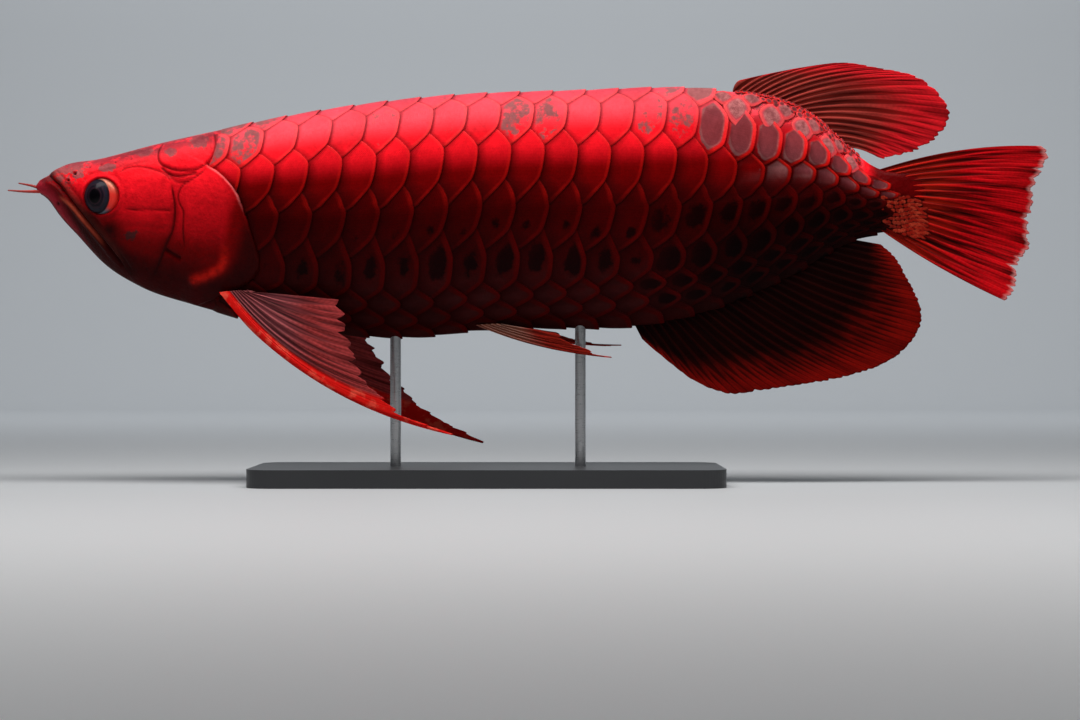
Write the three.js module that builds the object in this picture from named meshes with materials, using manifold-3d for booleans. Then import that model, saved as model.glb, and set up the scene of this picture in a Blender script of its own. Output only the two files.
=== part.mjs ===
// Asian arowana, a still life-size model held over a flat base by two rods.
// Millimetres, +Z up. The fish looks toward -X and its left side faces -Y.
// The origin is the middle of the base's underside, on the floor.
import * as THREE from 'three';
import { mergeVertices } from 'three/addons/utils/BufferGeometryUtils.js';
import Module from 'manifold-3d';

const wasm = await Module();
wasm.setup();

// Driving dimensions. The fish's own x runs from the snout (0) to the tail,
// and its own z is 0 at the height of the lower lip's corner.
const fishMiddle = 275;
const fishHeight = 150;
const gap = 0.3;
const finSink = 2.5;
const baseLength = 260;
const baseWidth = 110;
const baseThick = 10;
const baseRound = 14;
const rodRadius = 3;
const rodSink = 2;
const rodFrontX = 195;
const rodRearX = 298;
const eyeX = 33.8;
const eyeZ = 9.4;
const eyeRadius = 9.9;
const eyeDepth = 6.2;
const eyeProud = 2.6;
const orbitRadius = 10.9;
const orbitTube = 1;
const tailCutX = 327;
const gillPlateThick = 3.2;
const lipRadius = 1.5;
const nostrilRadius = 1.3;
const scaleStart = 59.2;
const scaleEnd = 472;
const scalePitch = 18.3;
const scalePitchEnd = 11;
const pitchFallX = 340;
const scaleRise = 1;
const stepInset = 0.3;
const rearBulge = 1.8;
const tipShare = 0.2;
const bellyTipShare = 0.32;
const farOut = 80;

// Smooth line through (along, value) points, level at no point but as they lead.
function smoothLine(points) {
  const along = points.map((p) => p[0]);
  const value = points.map((p) => p[1]);
  const last = points.length - 1;
  const step = along.slice(1).map((a, i) => a - along[i]);
  const rise = step.map((h, i) => (value[i + 1] - value[i]) / h);
  const slope = along.map((_, i) => {
    if (i === 0) return rise[0];
    if (i === last) return rise[last - 1];
    return (step[i] * rise[i - 1] + step[i - 1] * rise[i]) / (step[i - 1] + step[i]);
  });
  return (at) => {
    const a = Math.min(Math.max(at, along[0]), along[last]);
    let i = 0;
    while (i < last - 1 && a > along[i + 1]) i += 1;
    const h = step[i];
    const t = (a - along[i]) / h;
    const t2 = t * t;
    const t3 = t2 * t;
    return (2 * t3 - 3 * t2 + 1) * value[i] + (t3 - 2 * t2 + t) * h * slope[i]
      + (3 * t2 - 2 * t3) * value[i + 1] + (t3 - t2) * h * slope[i + 1];
  };
}

// Side view: the back and the belly. Top view: the half width. Waist: height of the widest point.
const backZ = smoothLine([[0, 20], [4, 24], [10, 27.2], [30, 31], [62, 39.2], [94, 46.4], [150, 57.2],
  [222, 66], [290, 68.8], [372, 69.8], [405, 66], [428, 56], [446, 40], [460, 28.5], [490, 23]]);
const bellyZ = smoothLine([[0, 11], [7.3, 0.2], [18, -11.7], [32, -26.7], [52, -39.6], [82, -50],
  [120, -59.5], [165, -66.3], [206, -67.8], [243, -63.8], [285, -62.8], [325, -62], [365, -54.5],
  [415, -34], [452, -13.5], [490, -8]]);
const halfWidth = smoothLine([[0, 4], [3, 7], [10, 10.5], [20, 14], [34, 17.6], [60, 21.5], [95, 24.2],
  [130, 25.6], [180, 26], [240, 25], [300, 22], [350, 18], [400, 13], [440, 8.5], [460, 6.2],
  [478, 3.2], [490, 2.4]]);
const waistZ = smoothLine([[0, 16.5], [34, 8], [100, 4], [200, 4], [300, 6], [400, 10], [460, 9], [490, 8]]);

// Lines between the rows of scales, as shares of the depth from the back, and the rows' forward lean.
const rowStations = [100, 300, 350, 409, 450];
const rowEdges = [[0.045, 0.045, 0.05, 0.16, 0.19], [0.21, 0.21, 0.238, 0.36, 0.344],
  [0.435, 0.435, 0.467, 0.517, 0.48], [0.64, 0.64, 0.665, 0.69, 0.63], [0.82, 0.82, 0.8, 0.82, 0.77],
  [0.89, 0.89, 0.87, 0.89, 0.86], [0.95, 0.95, 0.935, 0.95, 0.93],
].map((shares) => smoothLine(shares.map((share, i) => [rowStations[i], share])));
const scaleLean = smoothLine([[-68, -17], [-45, -17], [-27, -15.5], [-5, -10.5], [12, -5.5], [45, 0], [66, 3]]);

// Section exponents: a full round back, a belly drawn in to a keel.
const backPower = 2.5;
const bellyPower = 1.9;
const bellyNarrow = 1.45;

// Half width of the body at one station and height.
function flankY(x, z) {
  const waist = waistZ(x);
  const up = z >= waist;
  const reach = up ? backZ(x) - waist : waist - bellyZ(x);
  const c = Math.min(1, Math.abs(z - waist) / reach);
  const power = up ? backPower : bellyPower;
  const other = up ? backPower : bellyNarrow;
  return halfWidth(x) * Math.pow(Math.max(0, 1 - Math.pow(c, power)), 1 / other);
}

// Point on the skin: turn is 0 at the back's middle, half a turn at the belly, left side first.
function skinPoint(x, turn, lift = 0) {
  const side = turn >= 0 && turn <= Math.PI ? -1 : 1;
  const angle = Math.abs(turn <= Math.PI ? turn : 2 * Math.PI - turn);
  const waist = waistZ(x);
  const up = Math.cos(angle) >= 0;
  const reach = up ? backZ(x) - waist : bellyZ(x) - waist;
  const z = waist + reach * Math.pow(Math.abs(Math.cos(angle)), 2 / (up ? backPower : bellyPower));
  const y = side * halfWidth(x) * Math.pow(Math.abs(Math.sin(angle)), 2 / (up ? backPower : bellyNarrow));
  if (lift === 0) return new THREE.Vector3(x, y, z);
  const out = new THREE.Vector3(0, side * Math.sin(angle), Math.cos(angle)).multiplyScalar(lift);
  return new THREE.Vector3(x, y, z).add(out);
}

function makeGeometry(vertices, triangles) {
  const geometry = new THREE.BufferGeometry();
  const flat = vertices.flatMap((v) => [v.x, v.y, v.z]);
  geometry.setAttribute('position', new THREE.Float32BufferAttribute(flat, 3));
  geometry.setIndex(triangles.flat());
  return geometry;
}

// Closed tube through rings of equally many points, each end closed by a fan to its middle.
function loft(rings) {
  const around = rings[0].length;
  const vertices = rings.flat();
  const triangles = [];
  for (let i = 0; i + 1 < rings.length; i += 1) {
    for (let j = 0; j < around; j += 1) {
      const a = i * around + j;
      const b = i * around + (j + 1) % around;
      triangles.push([a, b, b + around], [a, b + around, a + around]);
    }
  }
  const middle = (ring) => ring.reduce((sum, p) => sum.add(p), new THREE.Vector3()).divideScalar(around);
  const first = vertices.push(middle(rings[0])) - 1;
  const final = vertices.push(middle(rings[rings.length - 1])) - 1;
  const end = (rings.length - 1) * around;
  for (let j = 0; j < around; j += 1) {
    const k = (j + 1) % around;
    triangles.push([first, k, j], [final, end + j, end + k]);
  }
  return makeGeometry(vertices, triangles);
}

// Volume with a sign, to turn a mesh whose faces point in.
function faceOut(geometry) {
  const p = geometry.attributes.position;
  const index = geometry.index.array;
  let volume = 0;
  const [a, b, c] = [new THREE.Vector3(), new THREE.Vector3(), new THREE.Vector3()];
  for (let i = 0; i < index.length; i += 3) {
    a.fromBufferAttribute(p, index[i]);
    b.fromBufferAttribute(p, index[i + 1]);
    c.fromBufferAttribute(p, index[i + 2]);
    volume += a.dot(b.cross(c));
  }
  if (volume < 0) {
    for (let i = 0; i < index.length; i += 3) [index[i], index[i + 1]] = [index[i + 1], index[i]];
  }
  return geometry;
}

function solid(geometry) {
  const plain = geometry.clone();
  ['normal', 'uv'].forEach((name) => plain.deleteAttribute(name));
  const merged = faceOut(mergeVertices(plain.index ? plain : mergeVertices(plain), 1e-4));
  return new wasm.Manifold(new wasm.Mesh({
    numProp: 3,
    vertProperties: new Float32Array(merged.attributes.position.array),
    triVerts: new Uint32Array(merged.index.array),
  }));
}

// The largest closed surface of a solid, as three.js geometry.
function geometryOf(body) {
  const pieces = body.decompose().sort((a, b) => b.volume() - a.volume());
  const mesh = pieces[0].getMesh();
  const geometry = new THREE.BufferGeometry();
  geometry.setAttribute('position', new THREE.Float32BufferAttribute(mesh.vertProperties, 3));
  geometry.setIndex(Array.from(mesh.triVerts));
  return geometry;
}

// Upright wall: a side-view outline of (x, z) points carried across the fish.
function wall(outline, from = -farOut, to = farOut) {
  const shape = new THREE.Shape(outline.map(([x, z]) => new THREE.Vector2(x, z)));
  const geometry = new THREE.ExtrudeGeometry(shape, { depth: to - from, bevelEnabled: false });
  geometry.rotateX(Math.PI / 2);
  geometry.translate(0, to, 0);
  return solid(geometry);
}

const flat = (points) => points.map(([x, z, y = 0]) => new THREE.Vector3(x, y, z));

// Side-view seams of the head: the gill cover's rear edge with the nape over it, and the mouth.
const gillRows = 12;
const gillEdge = rounded([[94.4, 25.6], [101.2, 20.6], [108.2, 12.8], [112.2, 3.9], [116, -7.5],
  [119.9, -19.6], [121.4, -26.5], [119, -32.4], [114.9, -37.3], [106.1, -41.5], [96.2, -44.5],
  [86, -47]], gillRows);
const gillFront = rounded([[94, 25.8], [84, 20.5], [75, 15.5], [76, 4], [72.6, -7.8], [68.7, -17.7],
  [63, -28], [66, -36], [85, -46.6]], gillRows);
const headSeam = [[95.5, 60], [95.5, 32], ...gillEdge, [81, -62]];
const mouthLine = [[-3, 18.5], [3.5, 19], [9.5, 13.2], [15.9, 6.8], [22.2, -0.5], [30, -10.5], [38.9, -21],
  [44, -30], [46, -50]];

// Side-view line moved by a distance to its right-hand side, for the clearance of a seam.
function shifted(points, distance) {
  return points.map(([x, z], i) => {
    const [x0, z0] = points[Math.max(i - 1, 0)];
    const [x1, z1] = points[Math.min(i + 1, points.length - 1)];
    const long = Math.hypot(x1 - x0, z1 - z0);
    return [x - (distance * (z1 - z0)) / long, z + (distance * (x1 - x0)) / long];
  });
}

// The same line with both of its ends drawn out.
function lengthened(points, far) {
  const out = ([x0, z0], [x1, z1]) => {
    const long = Math.hypot(x0 - x1, z0 - z1);
    return [x0 + (far * (x0 - x1)) / long, z0 + (far * (z0 - z1)) / long];
  };
  const last = points.length - 1;
  return [out(points[0], points[1]), ...points.slice(1, last), out(points[last], points[last - 1])];
}

// Evenly walked points of a smooth line through a few side-view points.
function rounded(points, count) {
  const path = new THREE.CatmullRomCurve3(flat(points), false, 'centripetal');
  return path.getSpacedPoints(count).map((p) => [p.x, p.z]);
}

// The trunk's scales: cells in rows along the body, each row set half a cell off the last.
// A cell is low at its front and rises to its rounded rear edge, which stands over the next one.
function scaledTrunk() {
  const columnX = [scaleStart];
  while (columnX[columnX.length - 1] < scaleEnd) {
    const x = columnX[columnX.length - 1];
    const share = THREE.MathUtils.clamp((x - pitchFallX) / (scaleEnd - pitchFallX), 0, 1);
    columnX.push(x + THREE.MathUtils.lerp(scalePitch, scalePitchEnd, share));
  }
  const columns = columnX.length - 1;
  const half = rowEdges.length;
  const rows = 2 * half;
  const atColumn = (c) => {
    const i = Math.min(Math.floor(c), columns - 1);
    return THREE.MathUtils.lerp(columnX[i], columnX[i + 1], c - i);
  };
  // Turn of the line over row k; the ring of rows starts at the back and comes round to it.
  const edgeTurn = (k, x) => {
    if (k === 0) return -edgeTurn(1, x);
    if (k > half) return 2 * Math.PI - edgeTurn(rows + 1 - k, x);
    return turnAt(x, backZ(x) - rowEdges[k - 1](x) * (backZ(x) - bellyZ(x)));
  };
  const span = (k, x) => edgeTurn(k + 1, x) - edgeTurn(k, x);
  const place = (x, turn, lift) => {
    const z = skinPoint(x, turn).z;
    return skinPoint(x + scaleLean(z), turn, lift);
  };

  const vertices = [];
  const cells = [];
  for (let k = 0; k < rows; k += 1) {
    for (let i = 0; 2 * i + 2 + (k % 2) <= 2 * columns; i += 1) {
      const h = 2 * i + 1 + (k % 2);
      const low = Math.min(k, rows - k);
      const tall = low <= 4 || low === half;
      const corner = (at, line, lift) => {
        const x = atColumn(at / 2);
        const beside = Math.min(span(line === 0 ? rows - 1 : line - 1, x), span(line % rows, x));
        const way = (at + line) % 2 === 1 ? -1 : 1;
        const share = low <= 3 ? tipShare : bellyTipShare;
        return { key: `${at} ${line % rows}`, x, turn: edgeTurn(line, x) + way * share * beside, lift };
      };
      const middle = (at, lift) => {
        const x = atColumn(at / 2);
        return { key: `${at} row ${k}`, x: x + rearBulge, turn: edgeTurn(k, x) + span(k, x) / 2, lift };
      };
      const ring = [corner(h, k, scaleRise / 2), corner(h + 1, k, scaleRise),
        ...(tall ? [middle(h + 1, scaleRise)] : []), corner(h + 1, k + 1, scaleRise),
        corner(h, k + 1, scaleRise / 2), corner(h - 1, k + 1, 0),
        ...(tall ? [middle(h - 1, 0)] : []), corner(h - 1, k, 0)];
      const x = atColumn(h / 2);
      const centre = place(x, edgeTurn(k, x) + span(k, x) / 2, scaleRise / 2);
      const copies = ring.map(({ x: cornerX, turn, lift }) => {
        const at = place(cornerX, turn, lift);
        const inward = centre.clone().sub(at).setLength(stepInset);
        return vertices.push(at.add(inward)) - 1;
      });
      cells.push({ keys: ring.map((spot) => spot.key), copies });
    }
  }
  return solid(shingled(vertices, cells));
}

// Closed surface of cells whose rims stand apart: cell faces, step walls, corners and both ends.
function shingled(vertices, cells) {
  const triangles = [];
  const across = new Map();
  cells.forEach((cell) => {
    const count = cell.keys.length;
    cell.keys.forEach((key, n) => {
      across.set(`${key}|${cell.keys[(n + 1) % count]}`, { cell, n });
    });
    const [c, even] = [cell.copies, count === 8];
    if (even) triangles.push([c[0], c[1], c[7]], [c[1], c[2], c[6]], [c[1], c[6], c[7]]);
    if (even) triangles.push([c[2], c[3], c[5]], [c[2], c[5], c[6]], [c[3], c[4], c[5]]);
    if (!even) triangles.push([c[0], c[1], c[5]], [c[1], c[2], c[4]], [c[1], c[4], c[5]], [c[2], c[3], c[4]]);
  });
  cells.forEach((cell) => {
    const count = cell.keys.length;
    cell.keys.forEach((key, n) => {
      const next = (n + 1) % count;
      const other = across.get(`${cell.keys[next]}|${key}`);
      if (!other) return;
      const [p1, p2] = [cell.copies[n], cell.copies[next]];
      const q2 = other.cell.copies[other.n];
      const q1 = other.cell.copies[(other.n + 1) % other.cell.keys.length];
      if (p1 < q1) triangles.push([p2, p1, q1], [p2, q1, q2]);
      const third = other.cell.keys[(other.n + 2) % other.cell.keys.length];
      const last = across.get(`${third}|${key}`);
      if (!last) return;
      const r1 = last.cell.copies[(last.n + 1) % last.cell.keys.length];
      if (r1 !== p1 && p1 < q1 && p1 < r1) triangles.push([r1, q1, p1]);
    });
  });
  const edges = new Set();
  triangles.forEach(([a, b, c]) => [`${a} ${b}`, `${b} ${c}`, `${c} ${a}`].forEach((e) => edges.add(e)));
  const front = vertices.push(new THREE.Vector3(scaleStart - scalePitch, 0, 0)) - 1;
  const rear = vertices.push(new THREE.Vector3(scaleEnd + scalePitch, 0, 8)) - 1;
  const open = [...edges].map((e) => e.split(' ').map(Number)).filter(([a, b]) => !edges.has(`${b} ${a}`));
  open.forEach(([a, b]) => triangles.push([b, a, vertices[a].x < pitchFallX ? front : rear]));
  return makeGeometry(vertices, triangles);
}

// Smooth head, its stations closest at the snout.
const headRings = 20;
const headAround = 30;
const headReach = 132;
const snoutCrowding = 1.55;
function headSkin() {
  const share = (i) => Math.pow(i / (headRings - 1), snoutCrowding);
  const rings = Array.from({ length: headRings }, (_, i) => headReach * share(i));
  const turns = Array.from({ length: headAround }, (_, j) => (2 * Math.PI * j) / headAround);
  return solid(loft(rings.map((x) => turns.map((turn) => skinPoint(x, turn)))));
}

const headTube = headSkin();
const trunkTube = scaledTrunk();

// Fin as a sheet between a root line and a tip line of 3-D points; crests are the rays.
function finSheet({ root, tip, rays, steps, bow, rootThick, edgeThick, valley, nick, lead = 1 }) {
  const columns = 2 * rays - 1;
  const rows = steps + 2;
  const sheet = [];
  for (let j = 0; j < columns; j += 1) {
    const r = j / (columns - 1);
    const crest = j % 2 === 0;
    const from = root(r);
    const to = tip(r);
    const middle = from.clone().lerp(to, 0.5).add(bow(r));
    const ray = new THREE.QuadraticBezierCurve3(from, middle, to);
    const reach = crest ? 1 : 1 - nick / Math.max(from.distanceTo(to), 4 * nick);
    const start = ray.getTangent(0);
    const column = [{ at: from.clone().addScaledVector(start, -finSink), thick: rootThick }];
    for (let i = 0; i < rows - 1; i += 1) {
      const s = (i / (rows - 2)) * reach;
      const ridge = j === 0 && i > 0 ? lead : 1;
      const share = crest || i === 0 ? ridge : valley;
      column.push({ at: ray.getPoint(s), thick: share * THREE.MathUtils.lerp(rootThick, edgeThick, s) });
    }
    sheet.push(column);
  }
  return sheet;
}

// Sheet of points with their thickness made a closed body, split alike on both faces.
function thicken(sheet) {
  const columns = sheet.length;
  const rows = sheet[0].length;
  const near = (j, i) => sheet[Math.min(Math.max(j, 0), columns - 1)][Math.min(Math.max(i, 0), rows - 1)].at;
  const front = [];
  const back = [];
  for (let j = 0; j < columns; j += 1) {
    for (let i = 0; i < rows; i += 1) {
      const across = near(j + 1, i).clone().sub(near(j - 1, i));
      const along = near(j, i + 1).clone().sub(near(j, i - 1));
      const normal = across.cross(along).normalize();
      const { at, thick } = sheet[j][i];
      front.push(at.clone().addScaledVector(normal, thick / 2));
      back.push(at.clone().addScaledVector(normal, -thick / 2));
    }
  }
  const count = front.length;
  const triangles = [];
  const quad = (a, b, c, d) => triangles.push([a, b, c], [a, c, d]);
  for (let j = 0; j + 1 < columns; j += 1) {
    for (let i = 0; i + 1 < rows; i += 1) {
      const a = j * rows + i;
      const b = a + rows;
      quad(a, b, b + 1, a + 1);
      triangles.push([a + count, b + 1 + count, b + count], [a + count, a + 1 + count, b + 1 + count]);
    }
  }
  const rim = [];
  for (let i = 0; i + 1 < rows; i += 1) rim.push([i, i + 1]);
  for (let j = 0; j + 1 < columns; j += 1) rim.push([j * rows + rows - 1, (j + 1) * rows + rows - 1]);
  for (let i = rows - 1; i > 0; i -= 1) rim.push([(columns - 1) * rows + i, (columns - 1) * rows + i - 1]);
  for (let j = columns - 1; j > 0; j -= 1) rim.push([j * rows, (j - 1) * rows]);
  rim.forEach(([a, b]) => quad(a, b, b + count, a + count));
  return faceOut(makeGeometry([...front, ...back], triangles));
}

// Even walk along an outline of 3-D points.
function along(points) {
  const path = new THREE.CatmullRomCurve3(points, false, 'centripetal');
  path.arcLengthDivisions = 400;
  return (r) => path.getPointAt(r);
}

// Median fins stand on the body's edge; their root follows it a little inside the skin.
// Their rays sweep back: near the front edge they end further round the outline.
const dorsalSweep = 0.65;
const analSweep = 0.7;
function edgeRoot(line, from, to) {
  return (r) => {
    const x = THREE.MathUtils.lerp(from, to, r);
    return new THREE.Vector3(x, 0, line(x));
  };
}

const dorsalTip = along(flat([[389, 75.5], [401.5, 78.3], [427.2, 83.1], [445.6, 85], [463.4, 82.2],
  [486.3, 76.9], [499.1, 66.9], [504.2, 55.2], [496.9, 42.9], [480.7, 34], [466, 31]]));
const dorsalFin = {
  root: edgeRoot(backZ, 383, 448),
  tip: (r) => dorsalTip(Math.pow(r, dorsalSweep)),
  rays: 14,
  steps: 5,
  bow: (r) => new THREE.Vector3(-2 - 6 * Math.sin(Math.PI * r), 0, 3 + 5 * Math.sin(Math.PI * r)),
  rootThick: 2.4,
  edgeThick: 0.9,
  valley: 0.6,
  nick: 1.6,
};
const analTip = along(flat([[333, -70.3], [348.6, -83.1], [359.7, -91.5], [371.4, -97.3], [382.6, -99.9],
  [411, -96.1], [445.3, -90.4], [472.6, -80.2], [486.9, -64.3], [488, -51.8], [480.7, -35.7],
  [473.5, -23.5], [466, -16.5]]));
const analFin = {
  root: edgeRoot(bellyZ, 328.5, 450),
  tip: (r) => analTip(Math.pow(r, analSweep)),
  rays: 18,
  steps: 5,
  bow: (r) => new THREE.Vector3(-3 * Math.sin(Math.PI * r), 0, -4 * Math.sin(Math.PI * r)),
  rootThick: 2.4,
  edgeThick: 0.9,
  valley: 0.6,
  nick: 1.4,
};

// The tail fin fans from the rounded end of the tail stalk.
const stalkEnd = [[468.5, 27], [477, 19], [481.5, 8.5], [478, -2.5], [467.5, -10.8]];
const tailTip = along(flat([[559, 37.5], [556, 25], [550.5, 12], [550, 3], [548.5, -15], [542, -27],
  [539, -40], [533.7, -48.3]]));
const tailRoot = along(flat(stalkEnd));
const caudalFin = {
  root: tailRoot,
  tip: tailTip,
  rays: 14,
  steps: 5,
  bow: (r) => new THREE.Vector3(0, 0, 8 * (1 - 1.4 * r)),
  rootThick: 2.6,
  edgeThick: 0.9,
  valley: 0.6,
  nick: 2.5,
};

// Paired fins: the breast fins spread out and down, the hip fins lie back along the belly.
function pairedFin(side, rootPoints, tipPoints, options) {
  const place = (points) => points.map(([x, y, z]) => new THREE.Vector3(x, side * y, z));
  return { root: along(place(rootPoints)), tip: along(place(tipPoints)), ...options };
}
const breastOptions = {
  rays: 7,
  steps: 8,
  bow: (r) => new THREE.Vector3(-12 * (1 - r), 0, -21 * (1 - r)),
  rootThick: 3.2,
  edgeThick: 1,
  valley: 0.6,
  nick: 3,
  lead: 1.5,
};
const breastRoot = [[101, 15.5, -46], [109, 17.5, -45], [118, 19.5, -43.5]];
const breastNearTip = [[228.3, 50, -121], [216, 49, -116.4], [201.8, 46, -111], [191.7, 43, -101.4],
  [179.5, 40, -89.2], [173.7, 35, -72.9], [169.5, 31, -58.6], [166.5, 29, -48]];
const breastFarTip = [[245.6, 50, -129.5], [226, 49, -119.1], [206.5, 46, -107], [199.8, 43, -99.3],
  [189.8, 40, -89.9], [184, 35, -78], [176, 31, -66], [166, 29, -52]];
const hipOptions = {
  rays: 5,
  steps: 5,
  bow: (r) => new THREE.Vector3(-4 * (1 - r), 0, -5 * (1 - r)),
  rootThick: 2.4,
  edgeThick: 0.9,
  valley: 0.6,
  nick: 2,
};
const hipRoot = [[243, 6, -62.5], [250, 7.5, -62], [257, 9, -61.5]];
const hipNearTip = [[316.5, 14, -79.6], [307.4, 14, -78.1], [301.7, 14, -74.7], [291.2, 13.5, -71.1],
  [287, 14, -66.5]];
const hipFarTip = [[323.1, 14, -72.5], [313, 14, -72.8], [303, 14, -70.7], [292, 13.5, -68.5],
  [286, 14, -65.5]];
const fins = {
  dorsal_fin: dorsalFin,
  anal_fin: analFin,
  caudal_fin: caudalFin,
  pectoral_fin_left: pairedFin(-1, breastRoot, breastNearTip, breastOptions),
  pectoral_fin_right: pairedFin(1, breastRoot, breastFarTip, breastOptions),
  pelvic_fin_left: pairedFin(-1, hipRoot, hipNearTip, hipOptions),
  pelvic_fin_right: pairedFin(1, hipRoot, hipFarTip, hipOptions),
};

// The space a breast or hip fin needs in the body: the root of its sheet, one gap more on every side.
function sheetSlot(sheet) {
  const beyond = (edge, inner) => edge.map(({ at, thick }, i) => (
    { at: at.clone().addScaledVector(at.clone().sub(inner[i].at).normalize(), 1.5 * gap), thick }));
  const wide = sheet.map((column) => column.slice(0, 5).map(({ at, thick }, i) => {
    const inward = i === 0 ? at.clone().sub(column[1].at).setLength(gap) : new THREE.Vector3();
    return { at: at.clone().add(inward), thick: thick + 2 * gap };
  }));
  const last = wide.length - 1;
  return solid(thicken([beyond(wide[0], wide[1]), ...wide, beyond(wide[last], wide[last - 1])]));
}

// The slot of a middle fin: a flat-sided cut along its root, open towards the fin.
function edgeSlot(sheet, thick) {
  const rays = sheet.filter((_, j) => j % 2 === 0);
  const inner = rays.map(([foot, knee]) => {
    const at = foot.at.clone().add(foot.at.clone().sub(knee.at).setLength(1.5 * gap));
    return [at.x, at.z];
  });
  const outer = rays.map(([foot, knee]) => {
    const at = foot.at.clone().add(knee.at.clone().sub(foot.at).setLength(8 * finSink));
    return [at.x, at.z];
  });
  const outline = [...lengthened(inner, 2 * gap), ...lengthened(outer, 2 * gap).reverse()];
  return wall(outline, -thick / 2 - gap, thick / 2 + gap);
}

// Turn about the body at which the skin has a given height.
function turnAt(x, z) {
  const waist = waistZ(x);
  const up = z >= waist;
  const reach = up ? backZ(x) - waist : waist - bellyZ(x);
  const c = Math.pow(Math.min(1, Math.abs(z - waist) / reach), (up ? backPower : bellyPower) / 2);
  return Math.acos(up ? c : -c);
}

// Plate on the left flank between two side-view lines, from one lift over the skin to another.
function flankPlate(front, rear, inner, outer, across) {
  const steps = Array.from({ length: across + 1 }, (_, k) => k);
  const rings = front.map(([x0, z0], i) => {
    const [x1, z1] = rear[i];
    const side = (lift, order) => order.map((k) => {
      const x = THREE.MathUtils.lerp(x0, x1, k / across);
      return skinPoint(x, turnAt(x, THREE.MathUtils.lerp(z0, z1, k / across)), lift(k));
    });
    return [...side(outer, steps), ...side(inner, steps.slice().reverse())];
  });
  return solid(loft(rings));
}

const mirrored = (body) => body.mirror([0, 1, 0]);

// Head: the front of the body less the gill covers' beds, the eye sockets and the lower jaw.
const clear = gap / 2;
const mouthGap = 0.25;
const headWall = wall([[-40, 60], ...shifted(headSeam, -clear), [-40, -62]]);
const jawWall = (distance) => wall([[-40, 18.5], ...shifted(mouthLine, distance), [-40, -62]]);
const gillRelief = [0.2, 0.5, 1.3, 0.6, 0.9, 0.3];
const gillAcross = gillRelief.length - 1;
const gillPlate = flankPlate(gillFront, gillEdge, () => -gillPlateThick, (k) => gillRelief[k], gillAcross)
  .intersect(headWall);
const bedGap = 1.4 * gap;
const bedRear = 3;
const bedHigh = 6;
const gillBed = flankPlate(lengthened(shifted(gillFront, -bedGap), bedGap),
  lengthened(shifted(gillEdge, bedRear), bedGap), () => -gillPlateThick - gap, () => bedHigh, gillAcross);

const eyeTurn = Math.atan2(flankY(eyeX + orbitRadius, eyeZ) - flankY(eyeX - orbitRadius, eyeZ), 2 * orbitRadius);
function atEye(geometry, out) {
  geometry.rotateZ(-eyeTurn);
  geometry.translate(eyeX, -flankY(eyeX, eyeZ) - out, eyeZ);
  return geometry;
}
function eyeBall(grow) {
  const ball = new THREE.SphereGeometry(1, 16, 10);
  ball.scale(eyeRadius + grow, eyeDepth + grow, eyeRadius + grow);
  return atEye(ball, eyeProud - eyeDepth);
}
function orbitRing() {
  const ring = new THREE.TorusGeometry(orbitRadius, orbitTube, 5, 18);
  ring.rotateX(Math.PI / 2);
  return atEye(ring, 0);
}

const eyeLeft = solid(eyeBall(0));
const socket = solid(eyeBall(gap));
const ring = solid(orbitRing());
const both = (body) => body.add(mirrored(body));

// Tapered round strand along a smooth path.
function feeler(points, fromRadius, toRadius, around, steps) {
  const path = new THREE.CatmullRomCurve3(points);
  const frames = path.computeFrenetFrames(steps);
  const rings = [];
  for (let i = 0; i <= steps; i += 1) {
    const at = path.getPointAt(i / steps);
    const radius = THREE.MathUtils.lerp(fromRadius, toRadius, i / steps);
    rings.push(Array.from({ length: around }, (_, j) => {
      const turn = (2 * Math.PI * j) / around;
      return at.clone()
        .addScaledVector(frames.normals[i], radius * Math.cos(turn))
        .addScaledVector(frames.binormals[i], radius * Math.sin(turn));
    }));
  }
  return solid(loft(rings));
}
// Barbels: two feelers from the tip of the lower jaw.
const barbelRoot = 1.5;
const barbelTip = 0.4;
const barbelPaths = {
  barbel_left: [[3.2, -2.2, 13], [-3, -2.4, 12.9], [-10, -3, 12.9], [-20.6, -3.6, 13.5]],
  barbel_right: [[3.2, 2.2, 13.6], [-2, 2.5, 14.6], [-8, 3.2, 16.2], [-16.2, 4, 18]],
};
function barbel(name, grow) {
  const path = barbelPaths[name].map(([x, y, z]) => new THREE.Vector3(x, y, z));
  return feeler(path, barbelRoot + grow, barbelTip + grow, 8, 8);
}

// Lips: a rounded ridge along each side of the mouth, from corner to corner round the snout.
function lip(distance, radius) {
  const side = shifted(mouthLine, distance).slice(1, 7).reverse();
  const left = side.map(([x, z]) => new THREE.Vector3(x, -flankY(x, z), z));
  const right = left.map((p) => new THREE.Vector3(p.x, -p.y, p.z)).reverse();
  const [, frontZ] = side[side.length - 1];
  return feeler([...left, new THREE.Vector3(0.6, 0, frontZ), ...right], radius, radius, 6, 20);
}

// Tip of the lower jaw: a blunt cone that stands out in front of the snout.
const chinPath = [[8, 0, 11.2], [4, 0, 12.6], [0, 0, 14.2], [-3.6, 0, 15.4]];
const chinRoot = 6;
const chinEnd = 1.6;
function chinTip() {
  return feeler(chinPath.map((p) => new THREE.Vector3(...p)), chinRoot, chinEnd, 12, 4);
}

// Nostrils: two holes on each side of the snout, the front one in a low round rim.
const nostrilRear = [18.2, 22.2];
const nostrilFront = [14.6, 18.6];
const nostrilPoint = ([x, z]) => skinPoint(x, turnAt(x, z));
function nostrilRim(place) {
  const at = nostrilPoint(place);
  const rim = new THREE.TorusGeometry(nostrilRadius, nostrilRadius / 3, 4, 8);
  rim.rotateX(Math.PI / 3);
  rim.translate(at.x, at.y, at.z);
  return solid(rim);
}
function nostrilHole(place) {
  const at = nostrilPoint(place);
  const hole = new THREE.SphereGeometry(nostrilRadius * 0.8, 6, 4);
  hole.translate(at.x, at.y, at.z);
  return solid(hole);
}

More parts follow.
